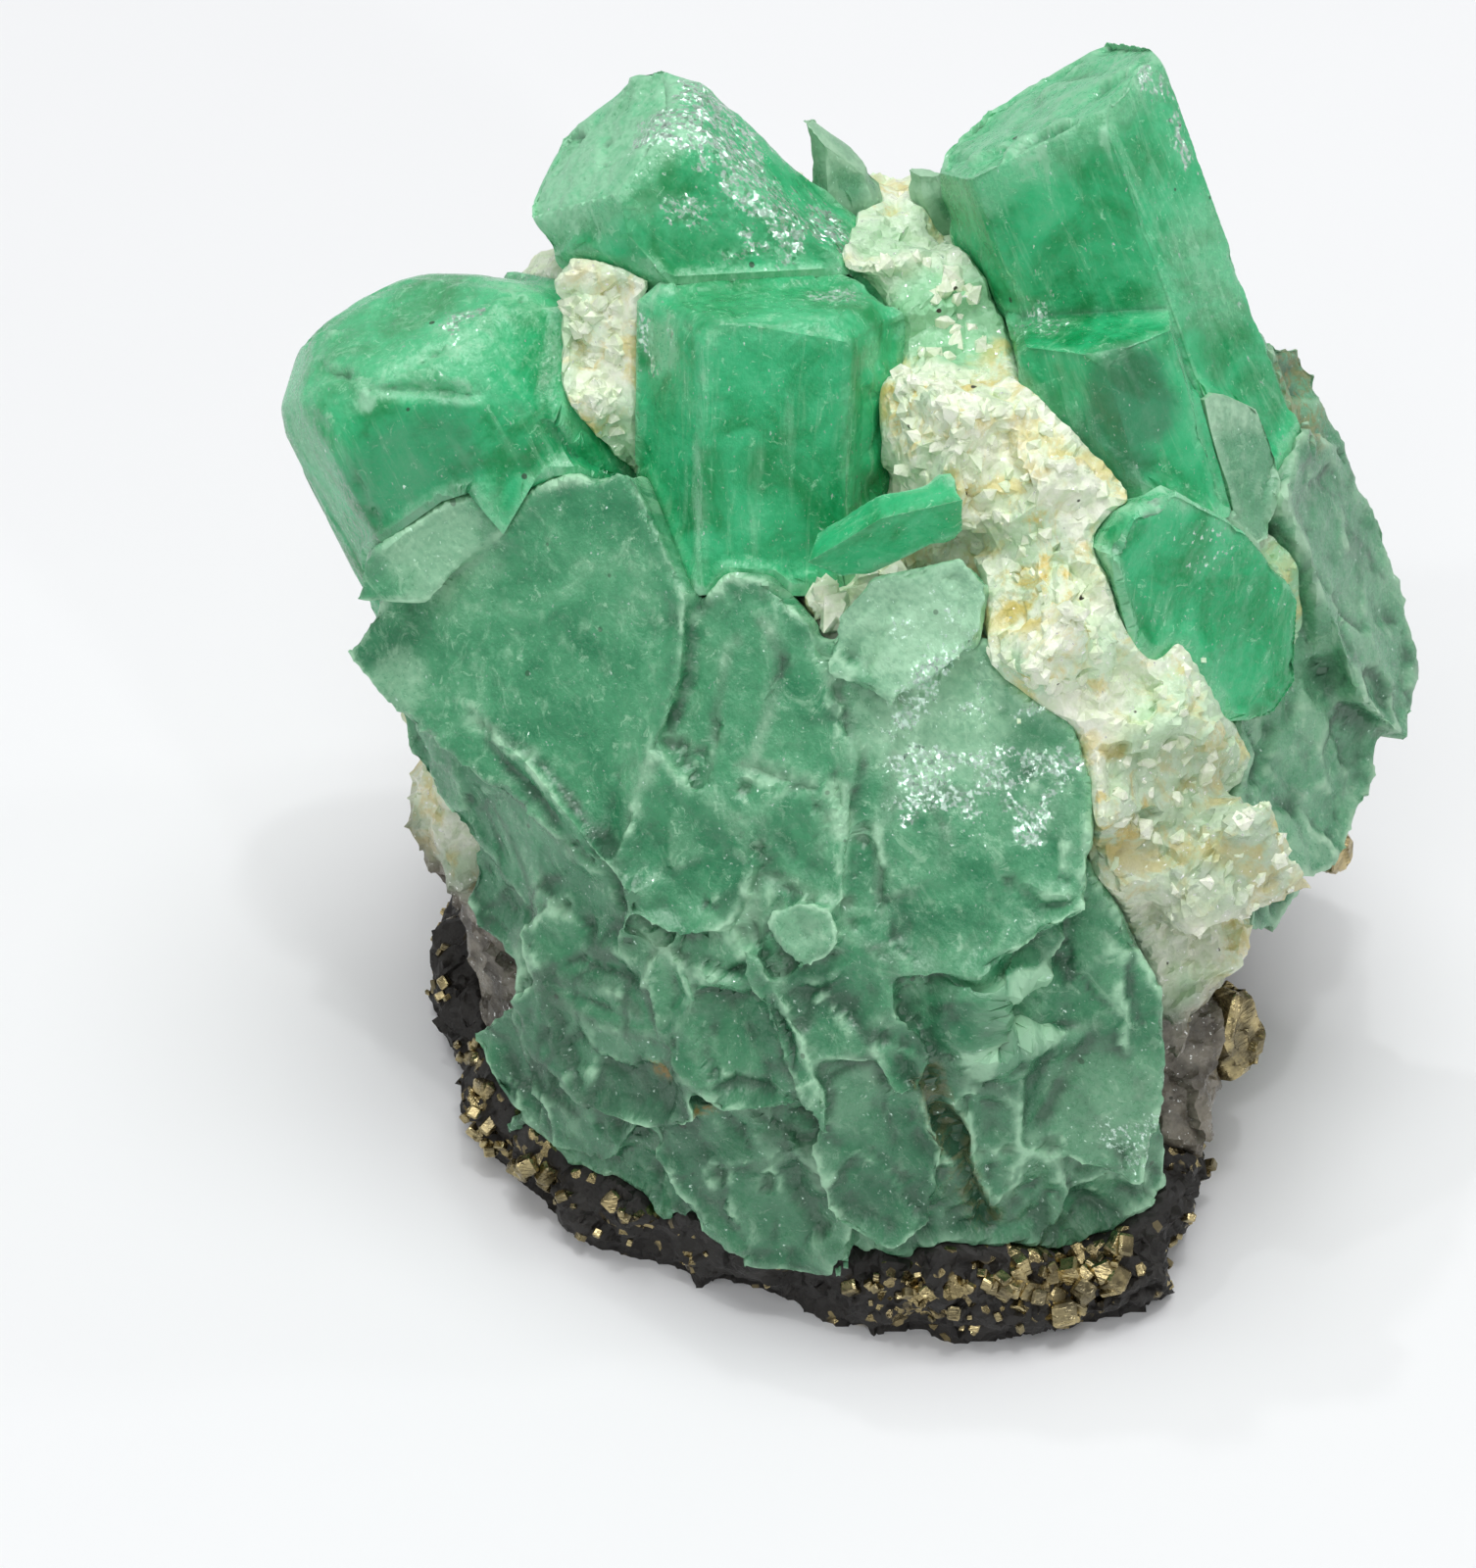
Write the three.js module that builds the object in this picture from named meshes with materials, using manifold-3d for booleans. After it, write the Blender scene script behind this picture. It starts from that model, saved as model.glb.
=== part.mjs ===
// Emerald crystals standing in a calcite matrix, on a thin crust of black shale and pyrite.
// Millimetres, +Z up. The origin is on the flat resting face, under the middle of the specimen,
// and the side with the best crystals looks towards -Y.
import * as THREE from "three";
import { mergeVertices } from "three/addons/utils/BufferGeometryUtils.js";
import Module from "manifold-3d";

const wasm = await Module();
wasm.setup();

// Driving dimensions
const CLEARANCE = 0.3;          // gap left between neighbouring pieces
const CRUST_TOP = 3.2;          // height of the shale slab inside the crust
const MATRIX_FOOT = CRUST_TOP + CLEARANCE;
const MATRIX_TOP = 41.2;        // height of the matrix between the two back crystals
const RAW_BLOCK = 110;          // side of the block that every piece is cut from
const SHELL_THICKNESS = 6;
const SPACE_BEFORE = 3;         // free depth before the plates of the front

// Colours
const EMERALD = 0x2fa06c;
const PALE_EMERALD = 0x6cb594;
const GREY_EMERALD = 0x6d9a84;
const CALCITE = 0xd3d8c2;
const SHALE = 0x3c3a36;
const PYRITE = 0xa8935a;

const TURN = 2 * Math.PI;
const SIDES = 6;
const UP = new THREE.Vector3(0, 0, 1);

// Seeded random numbers, so that the specimen is the same every time
function seeded(seed) {
  let state = seed >>> 0;
  return () => {
    state = (state + 0x6d2b79f5) >>> 0;
    let mixed = Math.imul(state ^ (state >>> 15), 1 | state);
    mixed = (mixed + Math.imul(mixed ^ (mixed >>> 7), 61 | mixed)) ^ mixed;
    return ((mixed ^ (mixed >>> 14)) >>> 0) / 4294967296;
  };
}

function spread(random, amount) {
  return (random() * 2 - 1) * amount;
}

function vector(list) {
  return new THREE.Vector3(...list);
}

// A block is a convex stone: a point inside it, and its faces as outward normals with reaches
function face(normal, through) {
  const unit = normal.clone().normalize();
  return { normal: unit, reach: unit.dot(through) };
}

// A six-sided crystal. Its reaches are the distances of the six faces from its axis, and the
// first face looks along front.
function prism({ tip, axis, front, reaches, length, slant = [0, 0], bevel = 0 }) {
  const end = vector(tip);
  const along = vector(axis).normalize();
  const ahead = vector(front);
  ahead.addScaledVector(along, -ahead.dot(along)).normalize();
  const across = new THREE.Vector3().crossVectors(along, ahead);
  const faces = [];
  for (let side = 0; side < SIDES; side += 1) {
    const angle = (TURN * side) / SIDES;
    const normal = ahead.clone().multiplyScalar(Math.cos(angle));
    normal.addScaledVector(across, Math.sin(angle));
    faces.push(face(normal, end.clone().addScaledVector(normal, reaches[side])));
    if (bevel > 0) {
      const corner = end.clone().addScaledVector(normal, reaches[side] - bevel);
      faces.push(face(normal.clone().add(along), corner));
    }
  }
  const cap = along.clone().addScaledVector(across, slant[0]).addScaledVector(ahead, slant[1]);
  faces.push(face(cap, end));
  faces.push(face(along.clone().negate(), end.clone().addScaledVector(along, -length)));
  return { core: end.clone().addScaledVector(along, -length / 2), faces };
}

// A plate with a convex outline, given in its own face as steps to the right and up from its
// middle. Its edges lean back under the face by the flare.
function slab({ at, normal, outline, thickness, flare = 0.25 }) {
  const middle = vector(at);
  const out = vector(normal).normalize();
  const up = UP.clone().addScaledVector(out, -out.z).normalize();
  const right = new THREE.Vector3().crossVectors(up, out);
  const faces = [face(out, middle)];
  const inside = middle.clone().addScaledVector(out, -thickness / 2);
  const corners = outline.map(([across, rise]) =>
    middle.clone().addScaledVector(right, across).addScaledVector(up, rise));
  corners.forEach((corner, index) => {
    const next = corners[(index + 1) % corners.length];
    const edge = next.clone().sub(corner);
    const side = new THREE.Vector3().crossVectors(edge, out).normalize();
    if (side.dot(middle.clone().sub(corner)) > 0) side.negate();
    faces.push(face(side.addScaledVector(out, -flare), corner));
  });
  faces.push(face(out.clone().negate(), middle.clone().addScaledVector(out, -thickness)));
  return { core: inside, faces };
}

// A rough lump with flat broken faces, spread evenly around an ellipsoid of the given half sizes
function lump({ at, size, sides, random, floor = null }) {
  const middle = vector(at);
  const half = vector(size);
  const faces = [];
  const golden = Math.PI * (3 - Math.sqrt(5));
  const start = random() * TURN;
  for (let side = 0; side < sides; side += 1) {
    const height = 1 - (2 * (side + 0.5)) / sides;
    const ring = Math.sqrt(1 - height * height);
    const angle = start + golden * side;
    const normal = new THREE.Vector3(ring * Math.cos(angle), ring * Math.sin(angle), height);
    normal.add(new THREE.Vector3(spread(random, 0.3), spread(random, 0.3), spread(random, 0.3)));
    normal.normalize();
    const reach = normal.clone().multiply(half).length() * (0.8 + 0.2 * random());
    faces.push(face(normal, middle.clone().addScaledVector(normal, reach)));
  }
  if (floor !== null) faces.push(face(UP.clone().negate(), new THREE.Vector3(0, 0, floor)));
  return { core: middle, faces };
}

// A grain of calcite: a leaning block between three pairs of cleavage faces, with corners gone
function grain({ at, size, random }) {
  const middle = vector(at);
  const turn = new THREE.Euler(random() * TURN, random() * TURN, random() * TURN);
  const lean = 0.22;
  const pairs = [[1, 0, 0], [lean, 1, 0], [lean, lean, 1]];
  const faces = [];
  pairs.forEach((pair, index) => {
    const normal = vector(pair).normalize().applyEuler(turn);
    const reach = size * (index === 0 ? 1.15 : 0.75 + 0.25 * random());
    faces.push(face(normal, middle.clone().addScaledVector(normal, reach)));
    normal.negate();
    faces.push(face(normal, middle.clone().addScaledVector(normal, reach)));
  });
  for (let corner = 0; corner < 4; corner += 1) {
    const normal = new THREE.Vector3(spread(random, 1), spread(random, 1), spread(random, 1));
    normal.normalize();
    faces.push(face(normal, middle.clone().addScaledVector(normal, size * 0.8)));
  }
  faces.push(face(UP.clone().negate(), new THREE.Vector3(0, 0, MATRIX_FOOT)));
  faces.push(face(new THREE.Vector3(0, 0.2, 1), new THREE.Vector3(0, 14, MATRIX_TOP)));
  return { core: middle, faces };
}

// Solids
function toSolid(geometry) {
  const bare = geometry.clone();
  bare.deleteAttribute("normal");
  bare.deleteAttribute("uv");
  const merged = mergeVertices(bare);
  return new wasm.Manifold(new wasm.Mesh({
    numProp: 3,
    vertProperties: new Float32Array(merged.attributes.position.array),
    triVerts: new Uint32Array(merged.index.array),
  }));
}

function carve(block, grow = 0) {
  const raw = new THREE.BoxGeometry(RAW_BLOCK, RAW_BLOCK, RAW_BLOCK);
  raw.translate(block.core.x, block.core.y, block.core.z);
  return block.faces.reduce((body, { normal, reach }) =>
    body.trimByPlane([-normal.x, -normal.y, -normal.z], -(reach + grow)), toSolid(raw));
}

function fuse(blocks, grow = 0) {
  return wasm.Manifold.union(blocks.map((block) => carve(block, grow)));
}

// Breaks corners off a solid: each chip is a flat cut of a given depth, seen from a direction
function chip(body, directions, depth) {
  return directions.reduce((left, direction) => {
    const normal = vector(direction).normalize();
    const { vertProperties } = left.getMesh();
    let far = -Infinity;
    for (let index = 0; index < vertProperties.length; index += 3) {
      const reach = normal.x * vertProperties[index] + normal.y * vertProperties[index + 1]
        + normal.z * vertProperties[index + 2];
      far = Math.max(far, reach);
    }
    return left.trimByPlane([-normal.x, -normal.y, -normal.z], -(far - depth));
  }, body);
}

// The largest whole piece of a solid: crumbs left by the cuts fall away
function largest(body) {
  const pieces = body.decompose();
  return pieces.reduce((best, piece) => (piece.volume() > best.volume() ? piece : best));
}

const specimen = new THREE.Group();

function addPiece(name, body, color, roughness, metalness = 0) {
  const mesh = largest(body).getMesh();
  const geometry = new THREE.BufferGeometry();
  geometry.setAttribute("position", new THREE.BufferAttribute(mesh.vertProperties, 3));
  geometry.setIndex(new THREE.BufferAttribute(mesh.triVerts, 1));
  const piece = new THREE.Mesh(geometry,
    new THREE.MeshStandardMaterial({ color, roughness, metalness, flatShading: true }));
  piece.name = name;
  specimen.add(piece);
}

// The crystals that stand free in the calcite
const backLeft = prism({
  tip: [-10, 12, 45.5], axis: [-0.705, 0.174, 0.68], front: [0.23, -0.8, 0.45],
  reaches: [4, 4.6, 4.7, 5, 4.7, 4.3], length: 15, slant: [0, 0.2],
});
const backRight = prism({
  tip: [9.6, 12.4, 47.2], axis: [-0.36, 0.36, 0.86], front: [-0.25, -0.85, 0.45],
  reaches: [4.4, 5.3, 5.4, 5.6, 5.3, 4.9], length: 19, slant: [-0.16, 0.1],
});
const backRightTwin = prism({
  tip: [11.8, 5.2, 41.2], axis: [-0.3, 0.38, 0.88], front: [0.45, -0.8, 0.4],
  reaches: [3.9, 3.5, 3.6, 3.6, 3.6, 3.7], length: 10, slant: [0.05, 0.25],
});
const left = prism({
  tip: [-19.6, 9.6, 38.8], axis: [-0.42, 0.32, 0.86], front: [-0.1, -0.8, 0.55],
  reaches: [5.9, 7.1, 6.1, 5.2, 6.8, 7], length: 19, slant: [0.14, 0.3], bevel: 1.2,
});
const centre = prism({
  tip: [-2.7, 6.6, 41.7], axis: [0.02, 0.42, 0.9], front: [0.05, -0.9, 0.42],
  reaches: [4.6, 5.4, 5.2, 4.8, 4.8, 5], length: 13, slant: [0, 0.12], bevel: 0.8,
});
const backSpike = prism({
  tip: [0.6, 15.2, 43.6], axis: [-0.15, 0.2, 0.95], front: [0.2, -0.9, 0.3],
  reaches: [1, 1.3, 1.3, 1.1, 1.3, 1.3], length: 8, slant: [1.1, 0.3],
});
const smallSpike = prism({
  tip: [4.6, 14.8, 42.4], axis: [-0.3, 0.1, 0.95], front: [0.2, -0.9, 0.3],
  reaches: [0.6, 0.7, 0.7, 0.6, 0.7, 0.7], length: 5, slant: [0.5, 0],
});
const rightCrystal = slab({
  at: [17.3, -3.5, 31.5], normal: [0.54, -0.81, 0.33], thickness: 7,
  outline: [[-1, 6.1], [2.6, 2.5], [4.8, -1.7], [4.2, -5.6], [2.4, -6.9], [-0.3, -5.6],
    [-4.4, -0.5], [-4.9, 4.3], [-3.5, 5.7]],
});
const greyBlock = slab({
  at: [17.7, 0.9, 35.6], normal: [0.57, -0.6, 0.56], thickness: 6,
  outline: [[-1.2, 3.2], [1.1, 3.3], [3.4, 1.5], [3.4, -1.1], [1.2, -4], [-1.2, -4.1],
    [-3.6, -0.7], [-2.9, 1.8]],
});
const edgePlate = slab({
  at: [2.9, -4.7, 36.1], normal: [0.14, -0.97, -0.2], thickness: 1.8,
  outline: [[-4, -1], [-0.7, 1.7], [3, 2.5], [3.1, 0.2], [0.8, -1], [-2.2, -2.4]],
});

// The front: crystals grown together, each a plate or block that lies in the plane of its face
const frontCrystals = [
  // The broad one at the upper left, and the ledge over it
  slab({
    at: [-13.3, -2.6, 28.4], normal: [-0.46, -0.7, 0.55], thickness: 8,
    outline: [[-9.6, -4], [-6.9, 1.9], [-1.6, 7.4], [2, 9.2], [6.7, 4.8], [7.7, 0.9], [7.2, -8.8],
      [-6.1, -5.8]],
  }),
  slab({
    at: [-17.9, 0.6, 31.7], normal: [0.1, -0.9, 0.42], thickness: 4,
    outline: [[-3.9, -2.8], [-3.3, -0.6], [0.6, 1.8], [2.9, 2.3], [3.5, 0.7], [-0.5, -3]],
  }),
  // The rounded one in the middle, and the grey one between it and the broad one
  slab({
    at: [-3.4, -7.4, 28], normal: [-0.34, -0.76, 0.56], thickness: 8,
    outline: [[-2.8, 6], [-4.1, 3.2], [-4, -1.4], [-2, -5], [1.3, -6.6], [6.4, -6.9], [5.2, 0],
      [1.6, 5], [-1, 6.5]],
  }),
  slab({
    at: [-6.6, -11.1, 22.3], normal: [-0.2, -0.78, 0.6], thickness: 8,
    outline: [[-2, 5.6], [-3.3, 0.2], [-2.2, -2.6], [0.5, -3.4], [3.1, -2.4], [3.8, 1]],
  }),
  // The bright one on the right, its long lower half and its pale top
  slab({
    at: [5.2, -10.1, 26.4], normal: [-0.14, -0.76, 0.64], thickness: 9,
    outline: [[-5.8, 2.1], [-4.9, 4.6], [-0.9, 6], [1.4, 5.4], [5.3, 3.4], [6.6, 0.4], [7, -4.7],
      [2.6, -8.3], [-1.8, -8.9], [-5.2, -4.8]],
  }),
  slab({
    at: [10.8, -14.3, 15.8], normal: [-0.1, -0.89, 0.44], thickness: 8,
    outline: [[-7.2, 4.7], [-4.3, 7.3], [0.5, 7.7], [4.5, 1.9], [5.1, -2.7], [4.3, -8.1],
      [0.7, -6.9], [-3.6, -3.9]],
  }),
  slab({
    at: [3.4, -6.5, 33.2], normal: [-0.2, -0.78, 0.6], thickness: 6,
    outline: [[-3.4, -3], [-3.3, -0.3], [-1.8, 1.5], [2, 3.2], [3.6, 2], [3.4, -0.8], [0, -4]],
  }),
  // The dark edge under the broad one
  slab({
    at: [-15, -5.6, 20.3], normal: [-0.72, -0.68, 0.1], thickness: 7,
    outline: [[-7.7, 2.2], [-6.9, -0.6], [-2.8, -2.5], [3.4, -5], [8.3, -3.1], [9, 1], [1.2, 4.4],
      [-5, 4.4]],
  }),
];

// The surface of the front, as a depth over a place across and a height: it bulges forwards
// above the foot, falls back to the top and curves away to both sides
const FRONT_NEAREST = -19.8;
const FRONT_BULGE_HEIGHT = 4;
const FRONT_MIDDLE = 4;
const FRONT_FALL_BACK = 0.0165;
const FRONT_CURVE = 0.028;
const BACKING_DEPTH = 1.5;      // how far the mass behind the shells lies under them
const BACKING_FOOT = 6;
const BACKING_TOP = 28;
const BACKING_LEFT = -9.6;
const BACKING_FAN_OUT = 0.36;   // its left edge moves this far out for each step up
const BACKING_RIGHT_LOW = 13;
const BACKING_RIGHT_HIGH = 7;
const BACKING_STEP = 5.5;

function frontDepth(across, height) {
  return FRONT_NEAREST + FRONT_FALL_BACK * (height - FRONT_BULGE_HEIGHT) ** 2
    + FRONT_CURVE * (across - FRONT_MIDDLE) ** 2;
}

function frontNormal(across, height) {
  return new THREE.Vector3(2 * FRONT_CURVE * (across - FRONT_MIDDLE), -1,
    2 * FRONT_FALL_BACK * (height - FRONT_BULGE_HEIGHT)).normalize();
}

// Shells that overlap on the lower front: their place, half width and half length, the lean of
// their long side from upright to the right, and how far they lie under the front surface
const SHELLS = [
  { across: -10.1, rise: 16.1, half: [2.8, 5], lean: 1.44, under: 0.3 },
  { across: -10.5, rise: 12, half: [3.3, 5.5], lean: 1.62, under: 0 },
  { across: -12.8, rise: 8, half: [3.2, 5.2], lean: 1.47, under: 0.8 },
  { across: -10.6, rise: 4.6, half: [3, 7], lean: 1.14, under: 1 },
  { across: -4.7, rise: 16, half: [3.5, 5], lean: -0.88, under: 0.4 },
  { across: -1.9, rise: 16.5, half: [0.9, 4.9], lean: -0.59, under: -0.2 },
  { across: -1.1, rise: 21.4, half: [1.6, 1.8], lean: 1.45, under: -0.3 },
  { across: 0.5, rise: 18.4, half: [2.8, 3.1], lean: 0.12, under: 0.5 },
  { across: -3.3, rise: 7.5, half: [3.7, 5.6], lean: -0.94, under: 0.9 },
  { across: 2.4, rise: 11.7, half: [3, 5.7], lean: -0.09, under: 0.6 },
  { across: 3.4, rise: 16.3, half: [1.3, 2.1], lean: -0.24, under: 0.1 },
  { across: 7.5, rise: 7.7, half: [3.2, 4.2], lean: -1.47, under: 1.3 },
  { across: 11.5, rise: 6.5, half: [2.2, 5.2], lean: -1.07, under: 1.5 },
];

function shellPlate({ across, rise, half, lean, under }, random) {
  const normal = frontNormal(across, rise);
  normal.add(new THREE.Vector3(spread(random, 0.07), 0, 0.1 + spread(random, 0.05)));
  const corners = 8;
  const outline = [];
  for (let corner = 0; corner < corners; corner += 1) {
    const angle = (TURN * (corner + spread(random, 0.2))) / corners;
    const reach = 1.06 + spread(random, 0.07);
    const x = half[0] * reach * Math.cos(angle);
    const y = half[1] * reach * Math.sin(angle);
    outline.push([
      x * Math.cos(lean) + y * Math.sin(lean),
      y * Math.cos(lean) - x * Math.sin(lean),
    ]);
  }
  return slab({
    at: [across, frontDepth(across, rise) + under, rise], normal: normal.toArray(), outline,
    thickness: SHELL_THICKNESS,
  });
}

// The mass that the shells and the large crystals of the front have grown from
function frontBacking() {
  const plates = [];
  for (let rise = BACKING_FOOT; rise <= BACKING_TOP; rise += BACKING_STEP) {
    const leftEdge = BACKING_LEFT - BACKING_FAN_OUT * (rise - BACKING_FOOT);
    const rightEdge = rise < 16 ? BACKING_RIGHT_LOW : BACKING_RIGHT_HIGH;
    for (let across = leftEdge; across <= rightEdge; across += BACKING_STEP) {
      plates.push(slab({
        at: [across, frontDepth(across, rise) + BACKING_DEPTH, rise],
        normal: frontNormal(across, rise).toArray(),
        outline: [[-4.2, -3], [-3, -4.4], [3, -4.4], [4.2, -3], [4.2, 3], [3, 4.4], [-3, 4.4],
          [-4.2, 3]],
        thickness: SHELL_THICKNESS,
      }));
    }
  }
  return plates;
}

function frontShells() {
  const random = seeded(21);
  const plates = SHELLS.map((shell) => shellPlate(shell, random)).concat(frontBacking());
  const foot = face(UP.clone().negate(), new THREE.Vector3(0, 0, MATRIX_FOOT));
  plates.forEach((plate) => plate.faces.push(foot));
  return plates;
}

// The open space before a plate, which the calcite leaves free
function spaceBefore(plate) {
  const [front, ...others] = plate.faces;
  const open = { normal: front.normal, reach: front.reach + SPACE_BEFORE };
  return { core: plate.core, faces: [open, ...others] };
}

// The matrix core is a fan: narrow at the foot, wide at the top
const core = {
  core: vector([2, 4, 20]),
  faces: [
    face(vector([0, -1, 0.1]), vector([0, -14, 5])),
    face(vector([-0.1, -0.86, 0.5]), vector([3, -9, 24])),
    face(vector([-0.35, -0.82, 0.45]), vector([-12, 4, 27])),
    face(vector([0, -0.5, 0.87]), vector([0, 0, 36])),
    face(vector([0.35, -0.5, 0.8]), vector([14, 0, 34])),
    face(vector([-0.1, 0.1, 1]), vector([0, 10, 39])),
    face(vector([-0.97, 0, -0.24]), vector([-18, 0, 10])),
    face(vector([-0.75, -0.65, 0]), vector([-15, -5, 10])),
    face(vector([-0.7, -0.3, 0.6]), vector([-20, 5, 30])),
    face(vector([-0.6, 0.8, -0.1]), vector([-13, 12, 20])),
    face(vector([0, 1, -0.1]), vector([0, 16, 20])),
    face(vector([0.6, 0.8, 0]), vector([15, 12, 20])),
    face(vector([0.95, 0, -0.3]), vector([18.5, 0, 10])),
    face(vector([0.75, -0.65, 0.1]), vector([16, -9, 12])),
    face(vector([0.7, 0, 0.7]), vector([21, 5, 32])),
    face(vector([0, 0, -1]), vector([0, 0, MATRIX_FOOT])),
  ],
};

// Where calcite shows between the crystals: places, and the size of the grains there
const CALCITE_LUMPS = [
  [[-11, 10, 36.5], 4.4],
  [[-10.5, 6.5, 33.5], 3.4],
  [[-6.5, 15, 37.5], 4],
  [[6, 8.5, 38], 4.2],
  [[6, 2.5, 36.5], 4],
  [[3, 14, 38.5], 4],
  [[10.5, -0.5, 34], 4],
  [[9.5, -4.5, 31], 4],
  [[13.5, -6.5, 26], 4.2],
  [[15, -8, 21], 4.4],
  [[16.2, -6.5, 15], 4],
  [[14.6, -8.4, 8.5], 4.2],
  [[-1, -0.5, 31], 3.8],
];

// Rough ground of the hidden sides: rings of large grains around the fan, from the right to the
// left, with smaller ones between them
function matrixRubble() {
  const random = seeded(7);
  const grains = [];
  const levels = 5;
  const perLevel = 8;
  for (let level = 0; level < levels; level += 1) {
    const height = 7 + 6.8 * level;
    const fan = 0.8 + 0.2 * Math.sin((Math.PI * (level + 0.8)) / levels);
    for (let step = 0; step < perLevel; step += 1) {
      const turn = (step + 0.25 + 0.4 * (level % 2) + spread(random, 0.25)) / perLevel;
      const angle = 0.5 * TURN * turn;
      const large = (step + level) % 2 === 0;
      const size = large ? 6.4 + spread(random, 0.8) : 4.2 + spread(random, 0.5);
      const reach = large ? 0 : 2;
      const across = 1 + (16 + reach) * fan * Math.cos(angle);
      const depth = 4.5 + (9.5 + reach) * fan * Math.sin(angle);
      grains.push(grain({ at: [across, depth, height + spread(random, 1.5)], size, random }));
    }
  }
  return grains;
}

const calciteRandom = seeded(3);
const calcite = CALCITE_LUMPS.flatMap(([at, size]) => {
  const grains = [];
  for (let count = 0; count < 3; count += 1) {
    const shifted = at.map((place) => place + spread(calciteRandom, size * 0.35));
    grains.push(grain({ at: shifted, size: size * 0.8, random: calciteRandom }));
  }
  return grains;
});

// The right flank: pale plates in steps, one behind the other
const FLANK_NORMAL = [0.73, -0.53, 0.44];
const flankPlates = [
  slab({
    at: [22.9, 1.8, 25.5], normal: FLANK_NORMAL, thickness: 8,
    outline: [[3.3, 13.6], [6.2, 11.8], [6.9, 6.1], [6, -1.7], [4.6, -5.2], [0.6, -9.3],
      [-4, -11], [-9.5, -8.5], [-9, -4], [-6.5, 1], [-3, 6]],
  }),
  slab({
    at: [22.9, -0.6, 16.4], normal: [0.8, -0.55, 0.1], thickness: 7,
    outline: [[-2.4, 9], [1.6, 6.9], [6.8, 1.7], [5.1, -3.3], [0.9, -5.1], [-2.6, -6.1],
      [-5.2, -4.3], [-3.8, 1.2]],
  }),
  slab({
    at: [25.2, 3.8, 26.5], normal: [0.86, -0.3, 0.4], thickness: 7,
    outline: [[-4, 8], [1, 9], [4, 5], [5, -1], [4, -7], [-1, -9], [-4, -4]],
  }),
];

// Pyrite crystals that stand in the side of the matrix
const pyriteRight = prism({
  tip: [20.6, -7.6, 8.2], axis: [0.8, -0.5, 0.35], front: [0.3, -0.6, 0.7],
  reaches: [1.6, 1.5, 2.2, 1.6, 1.5, 2.2], length: 5, slant: [0.1, 0.2], bevel: 0.5,
});
const pyriteFlank = prism({
  tip: [26.0, 2.8, 10.2], axis: [0.9, -0.4, 0.1], front: [0, -0.3, 1],
  reaches: [1.5, 1.2, 1.2, 1.5, 1.2, 1.2], length: 5, slant: [0.2, 0.1], bevel: 0.4,
});

// The crust under it all: a slab of shale with a ragged edge, and pyrite grains grown on it
const FOOT_OUTLINE = [[-16.5, -7.5], [-11, -14], [-0.5, -17.5], [7.5, -20], [15.3, -18], [17, -13],
  [19, -4], [20, 5], [17, 13], [9, 18], [-6, 18.5], [-16, 14], [-19, 4]];
const footSlab = {
  core: vector([0, 0, CRUST_TOP / 2]),
  faces: FOOT_OUTLINE.map(([x, y], index) => {
    const [nextX, nextY] = FOOT_OUTLINE[(index + 1) % FOOT_OUTLINE.length];
    return face(new THREE.Vector3(nextY - y, x - nextX, 0.1), new THREE.Vector3(x, y, CRUST_TOP / 2));
  }).concat([
    face(UP, new THREE.Vector3(0, 0, CRUST_TOP)),
    face(UP.clone().negate(), new THREE.Vector3(0, 0, 0)),
  ]),
};

function crustLumps() {
  const random = seeded(12);
  const stones = [];
  FOOT_OUTLINE.forEach(([x, y], index) => {
    const [nextX, nextY] = FOOT_OUTLINE[(index + 1) % FOOT_OUTLINE.length];
    const edgeLength = Math.hypot(nextX - x, nextY - y);
    const count = Math.round(edgeLength / 3.2);
    for (let step = 0; step < count; step += 1) {
      const share = (step + 0.5 + spread(random, 0.2)) / count;
      const half = 2 + spread(random, 0.4);
      const inward = 0.94;
      stones.push(lump({
        at: [(x + (nextX - x) * share) * inward, (y + (nextY - y) * share) * inward,
          2.2 + spread(random, 0.6)],
        size: [half, half, 2.6 + spread(random, 0.7)], sides: 11, random, floor: 0,
      }));
    }
  });
  return stones;
}

const crust = [footSlab, ...crustLumps()];
// Broken corners round the free end of a crystal
function weathered(block, count, depth, seed) {
  const random = seeded(seed);
  const away = block.faces[block.faces.length - 2].normal;
  const directions = [];
  for (let index = 0; index < count; index += 1) {
    const angle = (TURN * (index + spread(random, 0.3))) / count;
    const sideways = block.faces[0].normal.clone().applyAxisAngle(away, angle);
    directions.push(sideways.addScaledVector(away, 0.5 + 0.5 * random()).toArray());
  }
  return chip(carve(block), directions, depth);
}

// Each piece is cut clear of those placed before it
const placed = [];
function place(name, body, blocks, color, roughness, metalness = 0) {
  const clear = placed.length > 0 ? body.subtract(fuse(placed, CLEARANCE)) : body;
  placed.push(...blocks);
  addPiece(name, clear, color, roughness, metalness);
}

const front = [...frontCrystals, ...frontShells()];
place("shale_crust", fuse(crust), crust, SHALE, 0.7);
place("right_pyrite", carve(pyriteRight), [pyriteRight], PYRITE, 0.3, 1);
place("flank_pyrite", carve(pyriteFlank), [pyriteFlank], PYRITE, 0.3, 1);
place("front_crystals", fuse(front), front, PALE_EMERALD, 0.4);
place("centre_crystal", weathered(centre, 5, 0.5, 5), [centre], EMERALD, 0.3);
place("back_left_crystal", weathered(backLeft, 5, 0.9, 2), [backLeft], EMERALD, 0.3);
place("back_right_crystal", weathered(backRight, 4, 0.5, 3).add(weathered(backRightTwin, 3, 0.4, 8)),
  [backRight, backRightTwin], EMERALD, 0.3);
place("left_crystal", weathered(left, 7, 1.3, 4), [left], EMERALD, 0.3);
place("right_crystal", carve(rightCrystal), [rightCrystal], EMERALD, 0.3);
place("grey_crystal", carve(greyBlock), [greyBlock], GREY_EMERALD, 0.3);
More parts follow.
